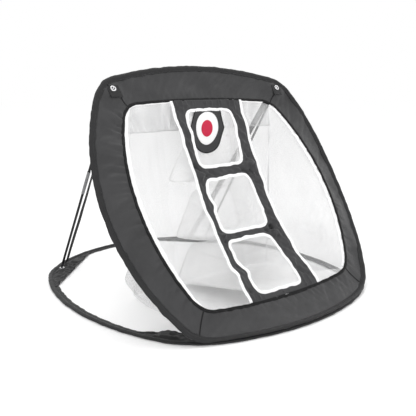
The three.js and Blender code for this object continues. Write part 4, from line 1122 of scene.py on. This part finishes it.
def poles():
    for label, side in SIDES:
        foot = POLE_FEET[label]
        head = from_face(np.array([side * GROMMET_X, GROMMET_S, 0.0]))
        axis = unit(head - foot)
        total = np.linalg.norm(head - foot) / MM
        end, joint = total - 6.5, total * 0.53
        foot_cap, head_cap = pole_caps(end)
        for name, profile, material, slot, node in (
                ("shaft_lower", tube(4.4, joint - 1), GLASS_FIBRE, "glass_fibre", "lower"),
                ("shaft_upper", tube(joint + 1, end - 4.4), GLASS_FIBRE, "glass_fibre", "upper"),
                ("sleeve", ferrule(joint), FERRULE, "ferrule_metal", "ferrule"),
                ("boot", foot_cap, MOULDED, "black_plastic", "foot"),
                ("head", head_cap, MOULDED, "black_plastic", "cap")):
            obj = lathe(f"pole_{name}_{label}", profile, foot, axis, material, 32)
            rides(obj, f"pole_{label}", slot, f"pole_{node}_{label}")
        pin = rounded([(0, -5.5), (2.4, -5.5), (2.4, 1.2), (1.7, 2.0), (1.7, 3.2), (2.4, 4.0), (2.4, 5.6),
                       (1.5, 7.4), (0, 8)], 0.7, 4)
        rides(lathe(f"pole_pin_{label}", pin, head, axis, NICKEL, 32), "face", "nickel", f"pole_tip_{label}")


def straps():
    for label, side in SIDES:
        top = from_face(np.array([side * 262.0, 622.0, -5.0]))
        low = from_level(np.array([side * 240.0, 722.0, 6.0]))
        t = np.linspace(0, 1, 90)[:, None]
        path = low + (top - low) * t
        path[:, 2] -= 0.0015 * np.sin(np.pi * t[:, 0])
        path[:, 0] += side * 0.0004 * rough(t[:, 0] * 640, 141 + side, 90, 400, 4)
        along = headings(path, False)
        roll = side * 0.62 + 0.12 * np.sin(2.2 * np.pi * t)
        wide = unit(np.cross(along, np.array([0, COS, SIN])))
        normal = unit(np.cross(along, wide)) * np.cos(roll) + wide * np.sin(roll)
        section = oval(8.5, 0.65, 12, 0.4)
        obj = sweep(f"strap_{label}", path, normal, section, WEBBING)
        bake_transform(obj)
        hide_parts(f"support_strap_{label}")


base_pieces()
face_sleeve()
face_border()
inner_binding()
center_band()
band_edges()
pocket_bindings()
bag()
for pocket in POCKETS:
    pocket_net(pocket)
flap()
corner_patches()
poles()
straps()

# CAD nodes that stay as they are get the same real materials.
KEPT = {"base_hoop_wire": STEEL, "base_hoop_crimp": NICKEL, "face_hoop_crimp": NICKEL,
        "shock_cord_left": CORD, "shock_cord_right": CORD}
for node, finish in KEPT.items():
    mesh = frame["nodes"][node].data
    mesh.materials.clear()
    mesh.materials.append(finish)


# ---------- studio ----------
def studio():
    size = 14.0
    ground = build("studio_floor", [(-size, -size, 0), (size, -size, 0), (size, size, 0), (-size, size, 0)],
                   [(0, 1, 2, 3)], [((0, 0), (1, 0), (1, 1), (0, 1))], floor_material())
    ground.location.z = -0.0006
    world = bpy.data.worlds.new("studio")
    world.use_nodes = True
    world.node_tree.nodes["Background"].inputs["Color"].default_value = (1, 1, 1, 1)
    world.node_tree.nodes["Background"].inputs["Strength"].default_value = 1.0
    bpy.context.scene.world = world
    bpy.context.scene.view_settings.view_transform = "Standard"
    for name, place, aim, wide, power in (
            ("key", (-1.6, -1.9, 2.6), (0, 0, 0.3), 1.2, 11),
            ("top", (0.1, 0.2, 3.0), (0, 0, 0.2), 1.6, 16),
            ("fill", (2.4, -1.4, 1.2), (0, 0, 0.3), 1.6, 4),
            ("low", (-0.7, -2.3, 0.6), (0, 0, 0.15), 1.0, 6)):
        lamp = bpy.data.lights.new(name, "AREA")
        lamp.shape = "DISK"
        lamp.size = wide
        lamp.energy = power
        obj = bpy.data.objects.new(name, lamp)
        obj.location = place
        obj.rotation_euler = (Vector(aim) - Vector(place)).to_track_quat("-Z", "Y").to_euler()
        bpy.context.scene.collection.objects.link(obj)
    lens = bpy.data.cameras.new("camera")
    lens.lens = 50.87
    lens.sensor_width = 36
    camera = bpy.data.objects.new("camera", lens)
    camera.location = (-0.9942, -1.2918, 0.5468)
    camera.rotation_euler = (math.radians(90 - 11.94), 0, math.radians(-38.77))
    bpy.context.scene.collection.objects.link(camera)
    bpy.context.scene.camera = camera


def floor_material():
    g = Graph("studio_floor")
    g.set(Base_Color=(1, 1, 1, 1), Roughness=1.0, Specular_IOR_Level=0.0)
    return g.material


studio()
